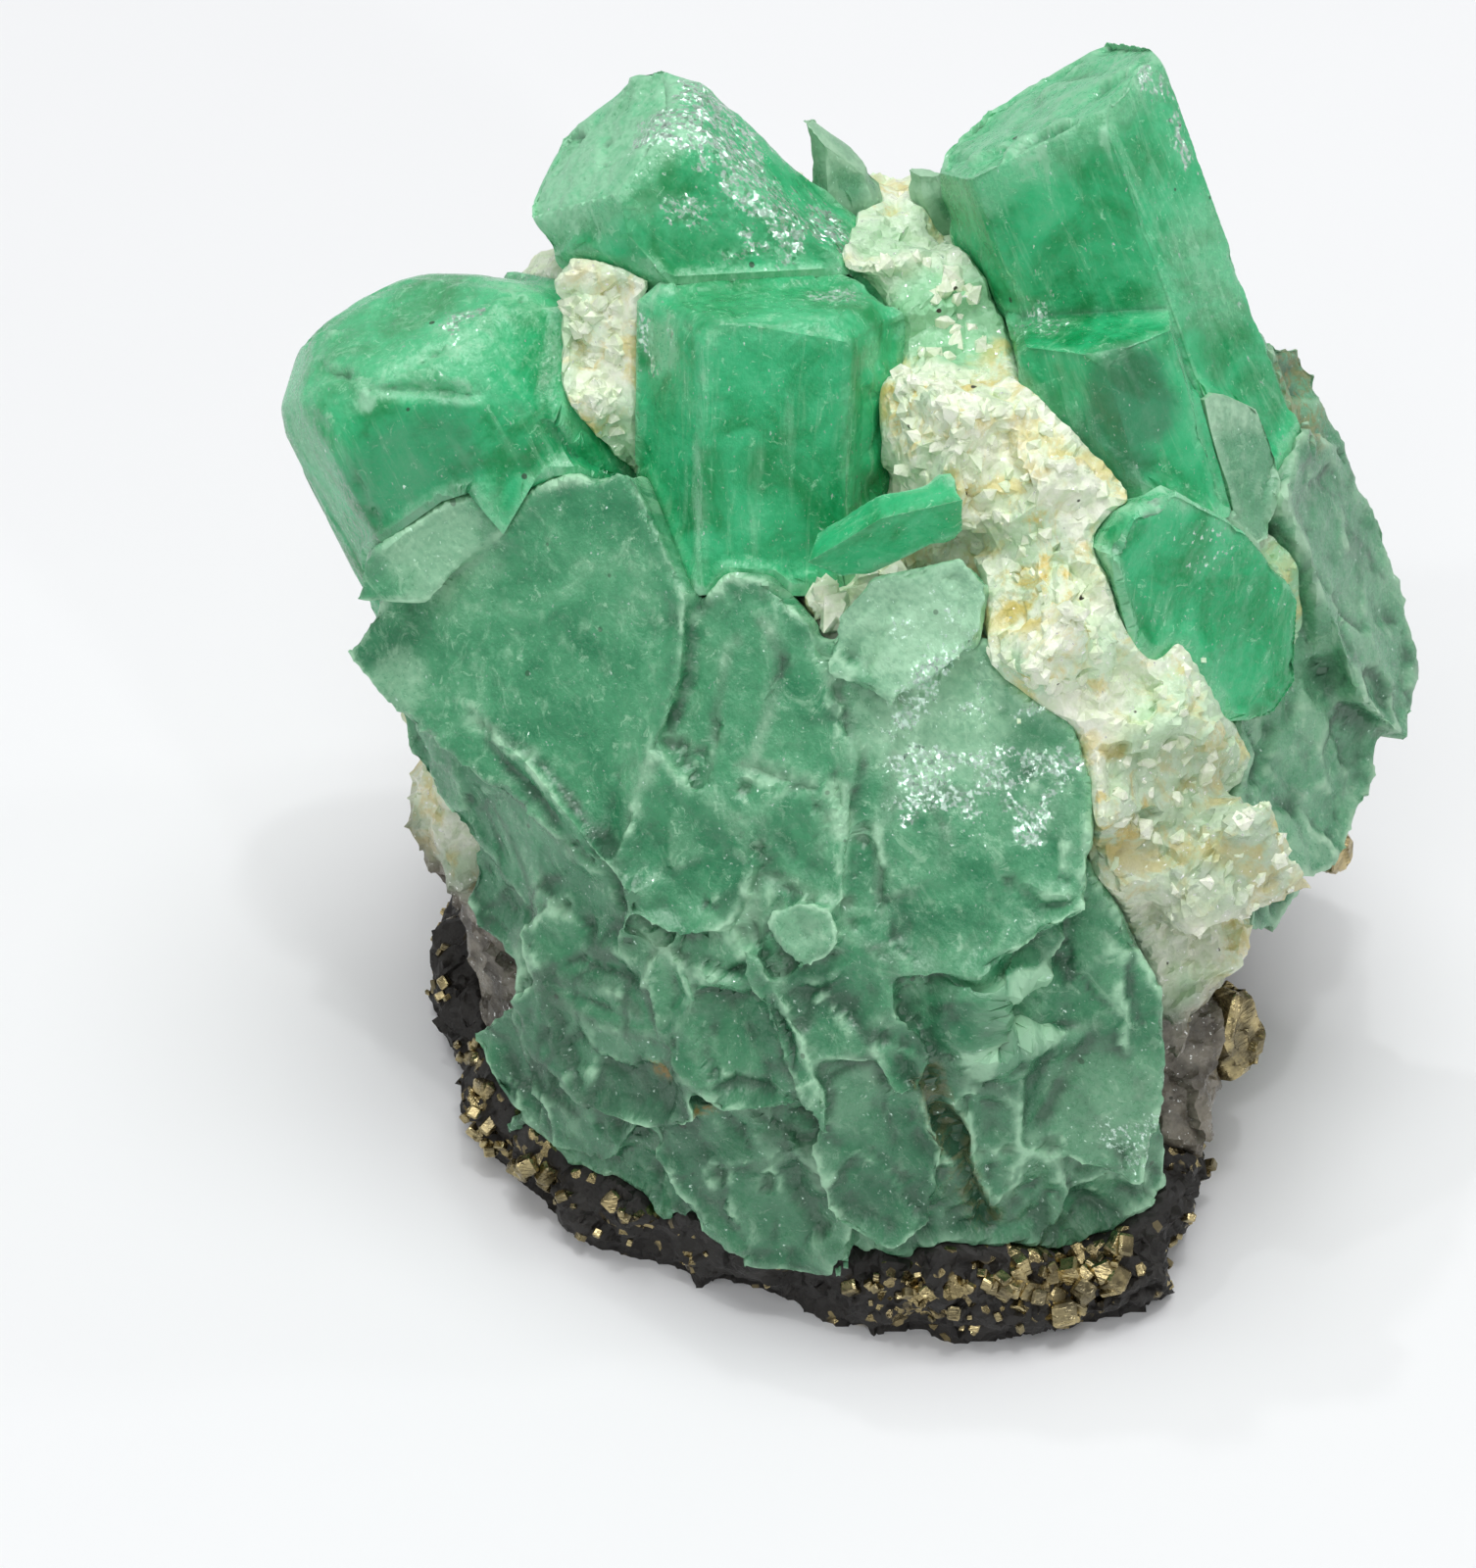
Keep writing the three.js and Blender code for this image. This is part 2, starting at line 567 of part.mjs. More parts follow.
place("edge_plate", carve(edgePlate), [edgePlate], EMERALD, 0.3);
place("back_spike", carve(backSpike), [backSpike], PALE_EMERALD, 0.3);
place("small_spike", carve(smallSpike), [smallSpike], PALE_EMERALD, 0.3);
place("right_flank", fuse(flankPlates), flankPlates, GREY_EMERALD, 0.4);
const ground = [core, ...calcite, ...matrixRubble()];
const freeSpace = fuse(frontCrystals.map(spaceBefore));
place("matrix", fuse(ground).subtract(freeSpace), ground, CALCITE, 0.8);

export default specimen;
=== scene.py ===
import math

import bmesh
import bpy
import numpy as np
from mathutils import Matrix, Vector
from mathutils.bvhtree import BVHTree
from mathutils.kdtree import KDTree


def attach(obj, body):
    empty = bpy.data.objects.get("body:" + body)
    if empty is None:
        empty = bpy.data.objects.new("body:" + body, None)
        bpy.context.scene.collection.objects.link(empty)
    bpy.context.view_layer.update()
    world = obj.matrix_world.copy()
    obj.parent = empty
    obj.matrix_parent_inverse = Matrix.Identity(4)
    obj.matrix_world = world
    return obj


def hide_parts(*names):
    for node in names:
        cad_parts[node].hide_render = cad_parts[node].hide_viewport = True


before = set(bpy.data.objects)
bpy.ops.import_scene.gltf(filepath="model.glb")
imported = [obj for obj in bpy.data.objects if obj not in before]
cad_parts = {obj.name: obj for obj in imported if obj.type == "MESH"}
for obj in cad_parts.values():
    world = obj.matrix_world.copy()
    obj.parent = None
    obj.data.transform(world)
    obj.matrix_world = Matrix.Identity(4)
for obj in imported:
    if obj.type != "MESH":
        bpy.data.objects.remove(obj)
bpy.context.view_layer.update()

# An emerald specimen: green crystals fanned out of white calcite, on a crust of shale and pyrite.
# Lengths in the mesh work are in millimetres and are turned into metres when a piece is made.
MM = 0.001
X, Y, Z = 0, 1, 2

# How long a mesh edge may be on the front, on what lies behind REAR_FROM, and where a neighbour
# is nearer than HIDDEN_WITHIN and hides it
SHOWN_EDGE = 0.3
REAR_EDGE = 0.5
REAR_FROM = 12.0
HIDDEN_EDGE = 1.6
HIDDEN_WITHIN = 0.42
# From this far off every neighbour, a surface gets its full relief
OPEN_FROM = 1.3
# How far the walls of a socket come up to the crystal in it
GAP_CLOSED = 0.2
# What is lower than this is the flat foot, and the rest stays off the floor by FOOT_CLEAR
FOOT = 0.03
FOOT_CLEAR = 0.02
# Points closer than this are one, and faces that turn by fewer degrees are one face
SAME_POINT = 0.002
SAME_FACE = 0.4
# An edge counts as sharp from this many degrees, and is marked by points this far apart
SHARP_FROM = 22.0
SHARP_STEP = 0.3
FAR = 99.0

# Factors that mix the bits of a cell's place and of a seed
CELL_FACTORS = 73856093, 19349663, 83492791
SEED_FACTOR = 2654435761
MIX_FACTOR = 0x45D9F3B
LOW_32_BITS = 0xFFFFFFFF
LOW_24_BITS = 0xFFFFFF


# Seeded noise
def mixed_bits(cells, seed):
    """A number from 0 to 1 for each row of whole numbers, the same on every run."""
    bits = cells.astype(np.int64) * CELL_FACTORS
    total = bits[..., 0] ^ bits[..., 1] ^ bits[..., 2]
    total = (total ^ (seed * SEED_FACTOR)) & LOW_32_BITS
    for _ in range(2):
        total = ((total ^ (total >> 16)) * MIX_FACTOR) & LOW_32_BITS
    return ((total ^ (total >> 16)) & LOW_24_BITS) / float(LOW_24_BITS)


def value_noise(points, seed):
    """Smooth noise from 0 to 1 that changes over a distance of about one."""
    base = np.floor(points)
    share = points - base
    share = share * share * share * (share * (share * 6 - 15) + 10)
    total = np.zeros(len(points))
    for corner in np.ndindex(2, 2, 2):
        offset = np.array(corner)
        weight = np.prod(np.where(offset == 1, share, 1 - share), axis=1)
        total += weight * mixed_bits(base + offset, seed)
    return total


def clouds(points, size, seed, octaves=3):
    """Noise from 0 to 1 with finer and fainter layers added."""
    total = np.zeros(len(points))
    reach = 0.0
    for octave in range(octaves):
        weight = 0.5**octave
        total += weight * value_noise(points * 2**octave / size, seed + octave)
        reach += weight
    return total / reach


def near_cells(points, size, seed):
    """Goes through the cells round each point: their places and the way from a random middle."""
    scaled = points / size
    base = np.floor(scaled)
    for step in np.ndindex(3, 3, 3):
        there = base + (np.array(step) - 1)
        jitter = np.stack([mixed_bits(there, seed + axis) for axis in range(3)], axis=1)
        yield there, scaled - there - jitter


def grains(points, size, seed):
    """Broken faces: each scattered grain has a flat top that leans its own way. Gives the height
    of that top, from about -1 to 1 in grain sizes, and how far off the border is."""
    near = np.full(len(points), FAR)
    second = near.copy()
    away = np.zeros((len(points), 3))
    cell = np.zeros((len(points), 3))
    for there, apart in near_cells(points, size, seed):
        distance = np.linalg.norm(apart, axis=1)
        closer = distance < near
        second = np.where(closer, near, np.minimum(second, distance))
        near = np.where(closer, distance, near)
        away[closer] = apart[closer]
        cell[closer] = there[closer]
    lean = np.stack([mixed_bits(cell, seed + 11 + axis) for axis in range(3)], axis=1) * 2 - 1
    lean /= np.maximum(np.linalg.norm(lean, axis=1, keepdims=True), 1e-6)
    return (away * lean).sum(1) + mixed_bits(cell, seed + 17) - 0.5, second - near


def ramp(low, high, value):
    """A smooth step from 0 at low to 1 at high. Where high is the smaller one, it runs down."""
    share = np.clip((value - low) / (high - low), 0, 1)
    return share * share * (3 - 2 * share)


def spots(points, listed, seed, wander=0.35):
    """A mark from 0 to 1 round listed places: x, y, z, radius and strength, with ragged edges."""
    total = np.zeros(len(points))
    for number, (x, y, z, radius, strength) in enumerate(listed):
        off = np.linalg.norm(points - (x, y, z), axis=1) / radius
        off += wander * 2 * (clouds(points, radius * 0.6, seed + number) - 0.5)
        total = np.maximum(total, strength * ramp(1.15, 0.6, off))
    return total


# Meshes
def node_mesh(name):
    """The corners of a node in millimetres and its triangles, with flat faces made whole and
    cut up again evenly."""
    build = bmesh.new()
    build.from_mesh(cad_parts[name].data)
    bmesh.ops.remove_doubles(build, verts=build.verts, dist=SAME_POINT * MM)
    bmesh.ops.dissolve_limit(build, angle_limit=math.radians(SAME_FACE), verts=build.verts,
                             edges=build.edges)
    bmesh.ops.triangulate(build, faces=build.faces, quad_method="BEAUTY", ngon_method="BEAUTY")
    build.verts.index_update()
    points = np.array([vert.co for vert in build.verts]) / MM
    tris = np.array([[vert.index for vert in polygon.verts] for polygon in build.faces])
    build.free()
    return points, tris


def voxel_mesh(name, size):
    """The same as an even net, with the parts of a node melted together."""
    holder = bpy.data.objects.new("holder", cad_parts[name].data.copy())
    bpy.context.scene.collection.objects.link(holder)
    remesh = holder.modifiers.new("even", "REMESH")
    remesh.mode = "VOXEL"
    remesh.voxel_size = size * MM
    even = holder.evaluated_get(bpy.context.evaluated_depsgraph_get()).to_mesh()
    even.calc_loop_triangles()
    points = np.empty(len(even.vertices) * 3, np.float32)
    even.vertices.foreach_get("co", points)
    tris = np.empty(len(even.loop_triangles) * 3, np.int32)
    even.loop_triangles.foreach_get("vertices", tris)
    bpy.data.objects.remove(holder)
    return points.reshape(-1, 3).astype(float) / MM, tris.reshape(-1, 3).astype(int)


def edges_of(tris):
    """Every edge once, as a pair of point numbers, and the edge number of each triangle side."""
    pairs = np.sort(tris[:, [[0, 1], [1, 2], [2, 0]]].reshape(-1, 2), axis=1)
    code = pairs[:, 0].astype(np.int64) * (tris.max() + 1) + pairs[:, 1]
    unique, first, numbers = np.unique(code, return_index=True, return_inverse=True)
    return pairs[first], numbers


def split(tris, cut):
    """Cuts triangles at the numbered middles of their edges. A number below 0 is no cut."""
    a, b, c = tris.T
    ab, bc, ca = cut.T
    kind = (ab >= 0) + 2 * (bc >= 0) + 4 * (ca >= 0)
    patterns = {
        0: [(a, b, c)],
        1: [(a, ab, c), (ab, b, c)],
        2: [(a, b, bc), (a, bc, c)],
        4: [(a, b, ca), (ca, b, c)],
        3: [(ab, b, bc), (a, ab, bc), (a, bc, c)],
        6: [(bc, c, ca), (a, b, bc), (a, bc, ca)],
        5: [(a, ab, ca), (ab, b, c), (ab, c, ca)],
        7: [(a, ab, ca), (ab, b, bc), (bc, c, ca), (ab, bc, ca)],
    }
    made = [np.stack(corners, axis=1)[kind == number]
            for number, pattern in patterns.items() for corners in pattern]
    return np.concatenate(made)


def refine(points, tris, longest, least):
    """Halves every edge that is longer than longest gives for its middle, until none is. No edge
    shorter than least is halved."""
    most_rounds = 12
    for _ in range(most_rounds):
        pairs, numbers = edges_of(tris)
        first, last = points[pairs[:, 0]], points[pairs[:, 1]]
        length = np.linalg.norm(first - last, axis=1)
        middle = (first + last) / 2
        long = length > least
        long[long] = length[long] > longest(middle[long])
        if not long.any():
            break
        number = np.full(len(pairs), -1)
        number[long] = len(points) + np.arange(long.sum())
        points = np.vstack([points, middle[long]])
        tris = split(tris, number[numbers].reshape(-1, 3))
    return points, tris


def normals_of(points, tris):
    """The way straight out of the surface at each point."""
    corners = points[tris]
    cross = np.cross(corners[:, 1] - corners[:, 0], corners[:, 2] - corners[:, 0])
    total = np.stack([sum(np.bincount(tris[:, corner], cross[:, axis], len(points))
                          for corner in range(3)) for axis in range(3)], axis=1)
    return total / np.maximum(np.linalg.norm(total, axis=1, keepdims=True), 1e-12)


def smoothed(values, tris, rounds, share=0.6):
    """Draws the value or place of every point towards the middle of its neighbours."""
    pairs, _ = edges_of(tris)
    first, last = pairs.T
    count = np.bincount(pairs.ravel(), minlength=len(values))
    flat = values.reshape(len(values), -1).copy()
    for _ in range(rounds):
        for column in flat.T:
            total = np.bincount(first, column[last], len(flat))
            total += np.bincount(last, column[first], len(flat))
            column += share * (total / np.maximum(count, 1) - column)
    return flat.reshape(values.shape)


def sharp_points(points, tris, inward=False):
    """Points along the sharp outward edges of a solid, or along its inward ones."""
    corners = points[tris]
    flat = np.cross(corners[:, 1] - corners[:, 0], corners[:, 2] - corners[:, 0])
    flat /= np.maximum(np.linalg.norm(flat, axis=1, keepdims=True), 1e-12)
    middle = corners.mean(axis=1)
    pairs, numbers = edges_of(tris)
    sides = (np.argsort(numbers, kind="stable") // 3).reshape(-1, 2)
    turn = np.degrees(np.arccos(np.clip((flat[sides[:, 0]] * flat[sides[:, 1]]).sum(1), -1, 1)))
    outward = ((middle[sides[:, 1]] - middle[sides[:, 0]]) * flat[sides[:, 0]]).sum(1) < 0
    found = []
    for start, end in points[pairs[(turn > SHARP_FROM) & (outward != inward)]]:
        count = max(2, int(np.linalg.norm(end - start) / SHARP_STEP) + 1)
        found.append(start + np.linspace(0, 1, count)[:, None] * (end - start))
    return np.concatenate(found)


def distances(cloud, points):
    """How far each point is from the nearest one of a cloud."""
    tree = KDTree(len(cloud))
    for index, point in enumerate(cloud):
        tree.insert(point, index)
    tree.balance()
    return np.array([tree.find(point)[2] for point in points])


NODE_MESHES = {name: node_mesh(name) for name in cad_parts}


def neighbours(name):
    """A search tree of every node's surface except this one's."""
    corners, faces, start = [], [], 0
    for other, (points, tris) in NODE_MESHES.items():
        if other != name:
            corners.extend(points.tolist())
            faces.extend((tris + start).tolist())
            start += len(points)
    return BVHTree.FromPolygons(corners, faces)


def room(tree, points, most):
    """How far off the nearest neighbour's surface is, up to a limit."""
    found = [tree.find_nearest(point, most)[3] for point in points]
    return np.array([most if distance is None else distance for distance in found])


class Form:
    """A node's surface, cut up finely, with what the shaping needs to know of each point: whether
    it is on the foot, how far off the next neighbour is (room), how free of neighbours it is
    (open), how far off the next sharp edge is (edge) and where it was before shaping (rest)."""

    def __init__(self, name, voxel=0, rounding=0):
        points, tris = NODE_MESHES[name]
        tree = neighbours(name)
        self.name = name

        def longest(middle):
            reach = np.where(middle[:, Y] > REAR_FROM, REAR_EDGE, SHOWN_EDGE)
            reach[middle[:, Z] < FOOT] = HIDDEN_EDGE
            near = reach < HIDDEN_EDGE
            hidden = room(tree, middle[near], HIDDEN_WITHIN) < HIDDEN_WITHIN
            reach[near] = np.where(hidden, HIDDEN_EDGE, reach[near])
            return reach

        if voxel:
            self.points, self.tris = voxel_mesh(name, voxel)
        else:
            self.points, self.tris = refine(points, tris, longest, SHOWN_EDGE)
        self.foot = self.points[:, Z] < FOOT + voxel * 0.3
        self.room = room(tree, self.points, OPEN_FROM)
        self.open = ramp(HIDDEN_WITHIN * 0.8, OPEN_FROM, self.room)
        if rounding:
            soft = smoothed(self.points, self.tris, rounding)
            share = np.where(self.foot, 0.0, 1.0 if voxel else self.open)[:, None]
            self.points = self.points + share * (soft - self.points)
        self.normals = normals_of(self.points, self.tris)
        self.edge = distances(sharp_points(points, tris), self.points)
        self.rest = self.points.copy()

    def push(self, height):
        """Moves the surface out by a height in millimetres, but not the foot or what is hidden."""
        height = np.where(self.foot, 0, height * self.open)
        self.points = self.points + self.normals * height[:, None]

    def close_gap(self):
        """Brings the walls of a socket up to the crystal that stands in it."""
        near = ramp(2 * HIDDEN_WITHIN, HIDDEN_WITHIN, self.room)
        self.points += self.normals * (GAP_CLOSED * np.where(self.foot, 0, near))[:, None]

    def ridges(self, rounds, depth):
        """How far each point stands out of its surroundings: 1 for a depth above them."""
        return ((self.points - smoothed(self.points, self.tris, rounds)) * self.normals
                ).sum(1) / depth

    def piece(self, material, marks=None, smooth_below=35.0):
        """Makes the Blender object, which takes the place of the node."""
        self.points[self.foot, Z] = 0.0
        lowest = np.where(self.foot, 0.0, FOOT_CLEAR)
        self.points[:, Z] = np.maximum(self.points[:, Z], lowest)
        made = make_object(self.name + "_form", self.points, self.tris, material)
        for mark, values in (marks or {}).items():
            kind, field = ("FLOAT_VECTOR", "vector") if values.ndim == 2 else ("FLOAT", "value")
            attribute = made.data.attributes.new(mark, kind, "POINT")
            attribute.data.foreach_set(field, values.astype(np.float32).ravel())
        made.data.shade_smooth()
        made.data.set_sharp_from_angle(angle=math.radians(smooth_below))
        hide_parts(self.name)
        print("made", self.name, len(self.tris), "triangles")


def make_object(name, points, tris, material):
    """A Blender object from points in millimetres, riding on the one body."""
    mesh = bpy.data.meshes.new(name)
    mesh.from_pydata((points * MM).tolist(), [], tris.tolist())
    made = bpy.data.objects.new(name, mesh)
    bpy.context.scene.collection.objects.link(made)
    mesh.materials.append(material)
    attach(made, "root")
    return made


# Materials
# Colours of the marks that all emeralds share: painted shade, rust, black dots, and flakes that
# mirror the light and are partly a painted pale glint
SHADE_GREEN = (0.035, 0.09, 0.055)
RUST = (0.3, 0.21, 0.06)
BLACK_DOT = (0.02, 0.02, 0.015)
MIRROR_GREEN = (0.72, 0.98, 0.83)
# What light loses on its way through a crystal
ABSORBED_TO = (0.12, 0.75, 0.42, 1)
ABSORPTION = 140.0
BERYL_IOR = 1.57
CALCITE_IOR = 1.5
# Colours of the calcite, the shale and the pyrite
SUGAR_WHITE, SUGAR_CREAM = (0.93, 0.97, 0.82), (0.8, 0.9, 0.66)
SUGAR_GREEN = (0.72, 0.86, 0.6)
NEAR_EMERALD = (0.26, 0.62, 0.34)
IRON_YELLOW = (0.73, 0.60, 0.20)
DARK_GREY, LIGHT_GREY = (0.07, 0.06, 0.045), (0.26, 0.235, 0.19)
GREY_DOT = (0.05, 0.045, 0.03)
MIRROR_WHITE = (0.97, 0.98, 0.95)
SHALE_BLACK, SHALE_BROWN = (0.003, 0.003, 0.0035), (0.035, 0.031, 0.026)
GRAIN_BRASS, GRAIN_BROWN = (0.42, 0.34, 0.17), (0.16, 0.13, 0.075)
BRIGHT_BRASS, TARNISHED_BRASS = (0.56, 0.46, 0.24), (0.2, 0.17, 0.1)


class Finish:
    """A material being built. Its patterns are laid out in millimetres."""

    def __init__(self, name):
        self.material = bpy.data.materials.new(name)
        self.material.use_nodes = True
        self.tree = self.material.node_tree
        self.shader = self.tree.nodes["Principled BSDF"]
        self.output = self.tree.nodes["Material Output"]
        place = self.node("ShaderNodeTexCoord").outputs["Object"]
        self.place = self.scaled(place, 1 / MM)

    def node(self, kind, inputs=None, **settings):
        made = self.tree.nodes.new(kind)
        for key, value in settings.items():
            setattr(made, key, value)
        for key, value in (inputs or {}).items():
            self.feed(made.inputs[key], value)
        return made

    def feed(self, socket, value):
        if isinstance(value, bpy.types.NodeSocket):
            self.tree.links.new(value, socket)
        elif isinstance(value, tuple) and socket.type == "RGBA":
            socket.default_value = (*value, 1.0)
        else:
            socket.default_value = value

    def set(self, **values):
        for key, value in values.items():
            self.feed(self.shader.inputs[key.replace("_", " ")], value)

    def vector(self, operation, first, second):
        made = self.node("ShaderNodeVectorMath", {0: first, 1: second}, operation=operation)
        return made.outputs["Vector"]

    def scaled(self, vector, factor):
        made = self.node("ShaderNodeVectorMath", {0: vector, 3: factor}, operation="SCALE")
        return made.outputs["Vector"]

    def math(self, operation, first, second=0.0, clamp=False):
        made = self.node("ShaderNodeMath", {0: first, 1: second}, operation=operation,
                         use_clamp=clamp)
        return made.outputs[0]

    def mark(self, name):
        return self.node("ShaderNodeAttribute", attribute_name=name).outputs["Fac"]

    def mark_vector(self, name):
        return self.node("ShaderNodeAttribute", attribute_name=name).outputs["Vector"]

    def noise(self, size, place=None, detail=3.0, roughness=0.55, twist=0.0):
        inputs = {"Vector": place or self.place, "Scale": 1 / size, "Detail": detail,
                  "Roughness": roughness, "Distortion": twist}
        return self.node("ShaderNodeTexNoise", inputs).outputs["Fac"]

    def cells(self, size, place=None, output="Color"):
        inputs = {"Vector": place or self.place, "Scale": 1 / size}
        return self.node("ShaderNodeTexVoronoi", inputs).outputs[output]

    def between(self, value, low, high, start=0.0, end=1.0):
        inputs = {0: value, 1: low, 2: high, 3: start, 4: end}
        return self.node("ShaderNodeMapRange", inputs, interpolation_type="SMOOTHSTEP").outputs[0]

    def mix(self, share, first, second):
        return self.node("ShaderNodeMix", {0: share, 6: first, 7: second},
                         data_type="RGBA").outputs[2]

    def tilt_cells(self, place, size, amount):
        """Turns the normal by a random direction in every cell, like small broken faces."""
        centred = self.vector("SUBTRACT", self.cells(size, place), (0.5, 0.5, 0.5))
        turned = self.scaled(centred, amount)
        base = self.node("ShaderNodeNewGeometry").outputs["Normal"]
        return self.vector("NORMALIZE", self.vector("ADD", base, turned), (0, 0, 0))

    def bump(self, height, depth, strength=1.0, normal=None):
        inputs = {"Height": height, "Distance": depth * MM, "Strength": strength}
        if normal:
            inputs["Normal"] = normal
        return self.node("ShaderNodeBump", inputs).outputs["Normal"]


def emerald(name, deep, mid, milk, clarity, haze, specks=0.0):
    """Green crystal: deep, mid and milk are its colours from clear to frosted, clarity is how
    much light goes through, haze how rough the surface is and specks how dark its dots are."""
    finish = Finish(name)
    grown = finish.mark_vector("grown")
    frost = finish.mark("frost")
    glitter_and_painted_glint = finish.mark("glitter_and_painted_glint")
    stain = finish.mark("stain")
    shade = finish.mark("shade")
    # cloudy patches, and thin veils drawn out along the crystal
    drawn = finish.vector("MULTIPLY", grown, (1.0, 1.0, 0.15))
    veils = finish.noise(0.9, drawn, detail=4, twist=0.3)
    clouding = finish.noise(3.6, grown, detail=6, roughness=0.62, twist=0.6)
    grain = finish.noise(0.3, grown, detail=3)
    flecks = finish.noise(0.55, grown, detail=5, roughness=0.7, twist=0.8)
    wisps = finish.noise(1.6, drawn, detail=8, roughness=0.75, twist=1.2)
    milky = finish.math("MULTIPLY", frost, finish.between(grain, 0.3, 0.7, 0.75, 1.2))
    milky = finish.math("ADD", milky, finish.between(wisps, 0.53, 0.66, 0.0, 0.4))
    # painted glint: the glint patches are painted paler
    milky = finish.math("ADD", milky, finish.math("MULTIPLY", glitter_and_painted_glint, 0.35))
    milky = finish.math("ADD", milky, finish.between(clouding, 0.52, 0.75, 0.0, 0.28))
    milky = finish.math("ADD", milky, finish.between(veils, 0.54, 0.75, 0.0, 0.35))
    milky = finish.math("ADD", milky, finish.between(flecks, 0.595, 0.67, 0.0, 0.5), clamp=True)
    green = finish.mix(finish.between(clouding, 0.32, 0.6), deep, mid)
    colour = finish.mix(milky, green, milk)
    # painted shade: the colour is drawn towards a dark grey-green where the shade mark is
    colour = finish.mix(finish.math("MULTIPLY", shade, 0.85), colour, SHADE_GREEN)
    rust = finish.math("MULTIPLY", stain, finish.between(flecks, 0.42, 0.6))
    colour = finish.mix(rust, colour, RUST)
    dots = finish.between(finish.cells(2.6, grown, "Distance"), 0.045, 0.06, 1.0, 0.0)
    colour = finish.mix(finish.math("MULTIPLY", dots, specks), colour, BLACK_DOT)
    # small broken faces that mirror the light, partly as metal and partly as a painted pale glint
    sugar = finish.noise(0.2, finish.vector("MULTIPLY", grown, (1.0, 1.0, 0.6)), detail=3,
                         roughness=0.6)
    sugar = finish.math("ADD", sugar, finish.between(glitter_and_painted_glint, 0.0, 1.0, 0.0, 0.21))
    flake = finish.between(sugar, 0.67, 0.73)
    finish.set(Base_Color=finish.mix(flake, colour, MIRROR_GREEN))
    finish.set(Metallic=finish.math("MULTIPLY", flake, 0.6))
    clear = finish.math("SUBTRACT", 1.0, milky, clamp=True)
    # less light goes through where shade is painted
    clear = finish.math("MULTIPLY", clear, finish.math("SUBTRACT", 1.0, shade, clamp=True))
    finish.set(Transmission_Weight=finish.math("MULTIPLY", clear, clarity))
    rough = finish.math("ADD", finish.between(milky, 0.0, 1.0, haze, haze + 0.3),
                        finish.between(grain, 0.3, 0.7, -0.05, 0.08))
    rough = finish.math("MULTIPLY", rough, finish.between(glitter_and_painted_glint, 0.0, 1.0, 1.0, 0.45))
    finish.set(Roughness=rough, IOR=BERYL_IOR)
    lean = finish.math("ADD", finish.between(glitter_and_painted_glint, 0.0, 1.0, 0.16, 0.9),
                       finish.math("MULTIPLY", flake, 0.5))
    tilted = finish.tilt_cells(grown, 0.22, lean)
    uneven = finish.noise(0.6, grown, detail=5, roughness=0.65)
    finish.set(Normal=finish.bump(uneven, 0.12, 0.9, tilted))
    absorb = finish.node("ShaderNodeVolumeAbsorption", {"Density": ABSORPTION})
    absorb.inputs["Color"].default_value = ABSORBED_TO
    finish.tree.links.new(absorb.outputs[0], finish.output.inputs["Volume"])
    return finish.material


def calcite(name):
    """White, sugary calcite with yellow stains, greener where crystals are near."""
    finish = Finish(name)
    stain = finish.mark("stain")
    greyer = finish.mark("greyer")
    green = finish.mark("green")
    patches = finish.noise(2.6, detail=5, roughness=0.6)
    fine = finish.noise(0.6, detail=4)
    white = finish.mix(finish.between(fine, 0.35, 0.7), SUGAR_WHITE, SUGAR_CREAM)
    colour = finish.mix(finish.between(patches, 0.48, 0.62, 0.0, 0.7), white, SUGAR_GREEN)
    colour = finish.mix(green, colour, NEAR_EMERALD)
    spotty = finish.between(finish.noise(2.0, detail=7, roughness=0.65, twist=0.6), 0.47, 0.63)
    colour = finish.mix(finish.math("MULTIPLY", spotty, stain), colour, IRON_YELLOW)
    grey = finish.mix(finish.between(finish.noise(1.6, detail=6), 0.35, 0.65), DARK_GREY,
                      LIGHT_GREY)
    colour = finish.mix(greyer, colour, grey)
    dots = finish.between(finish.cells(1.9, None, "Distance"), 0.06, 0.08, 1.0, 0.0)
    colour = finish.mix(dots, colour, GREY_DOT)
    flake = finish.between(finish.noise(0.25, detail=3, roughness=0.6), 0.64, 0.7)
    finish.set(Base_Color=finish.mix(flake, colour, MIRROR_WHITE), IOR=CALCITE_IOR)
    finish.set(Metallic=finish.math("MULTIPLY", flake, 0.8))
    finish.set(Roughness=finish.between(fine, 0.3, 0.7, 0.22, 0.42))
    tilted = finish.tilt_cells(finish.place, 0.3, 0.45)
    uneven = finish.noise(0.3, detail=4)
    finish.set(Normal=finish.bump(uneven, 0.1, 0.8, tilted))
    return finish.material


def crust(name):
    """Black shale grown through with brassy pyrite grains."""
    finish = Finish(name)
    grain = finish.cells(0.45)
    split_grain = finish.node("ShaderNodeSeparateColor", {0: grain})
    brass = finish.math("ADD", split_grain.outputs[0], finish.mark("brass"))
    metal = finish.between(brass, 1.0, 1.04)
    shale = finish.mix(finish.noise(1.2, detail=5), SHALE_BLACK, SHALE_BROWN)
    shine = finish.mix(split_grain.outputs[1], GRAIN_BRASS, GRAIN_BROWN)
    finish.set(Base_Color=finish.mix(metal, shale, shine), Metallic=metal)
    finish.set(Roughness=finish.between(metal, 0, 1, 0.6, 0.2))
    tilted = finish.tilt_cells(finish.place, 0.45, 1.0)
    finish.set(Normal=finish.bump(finish.noise(0.25, detail=4), 0.1, 0.7, tilted))
    return finish.material


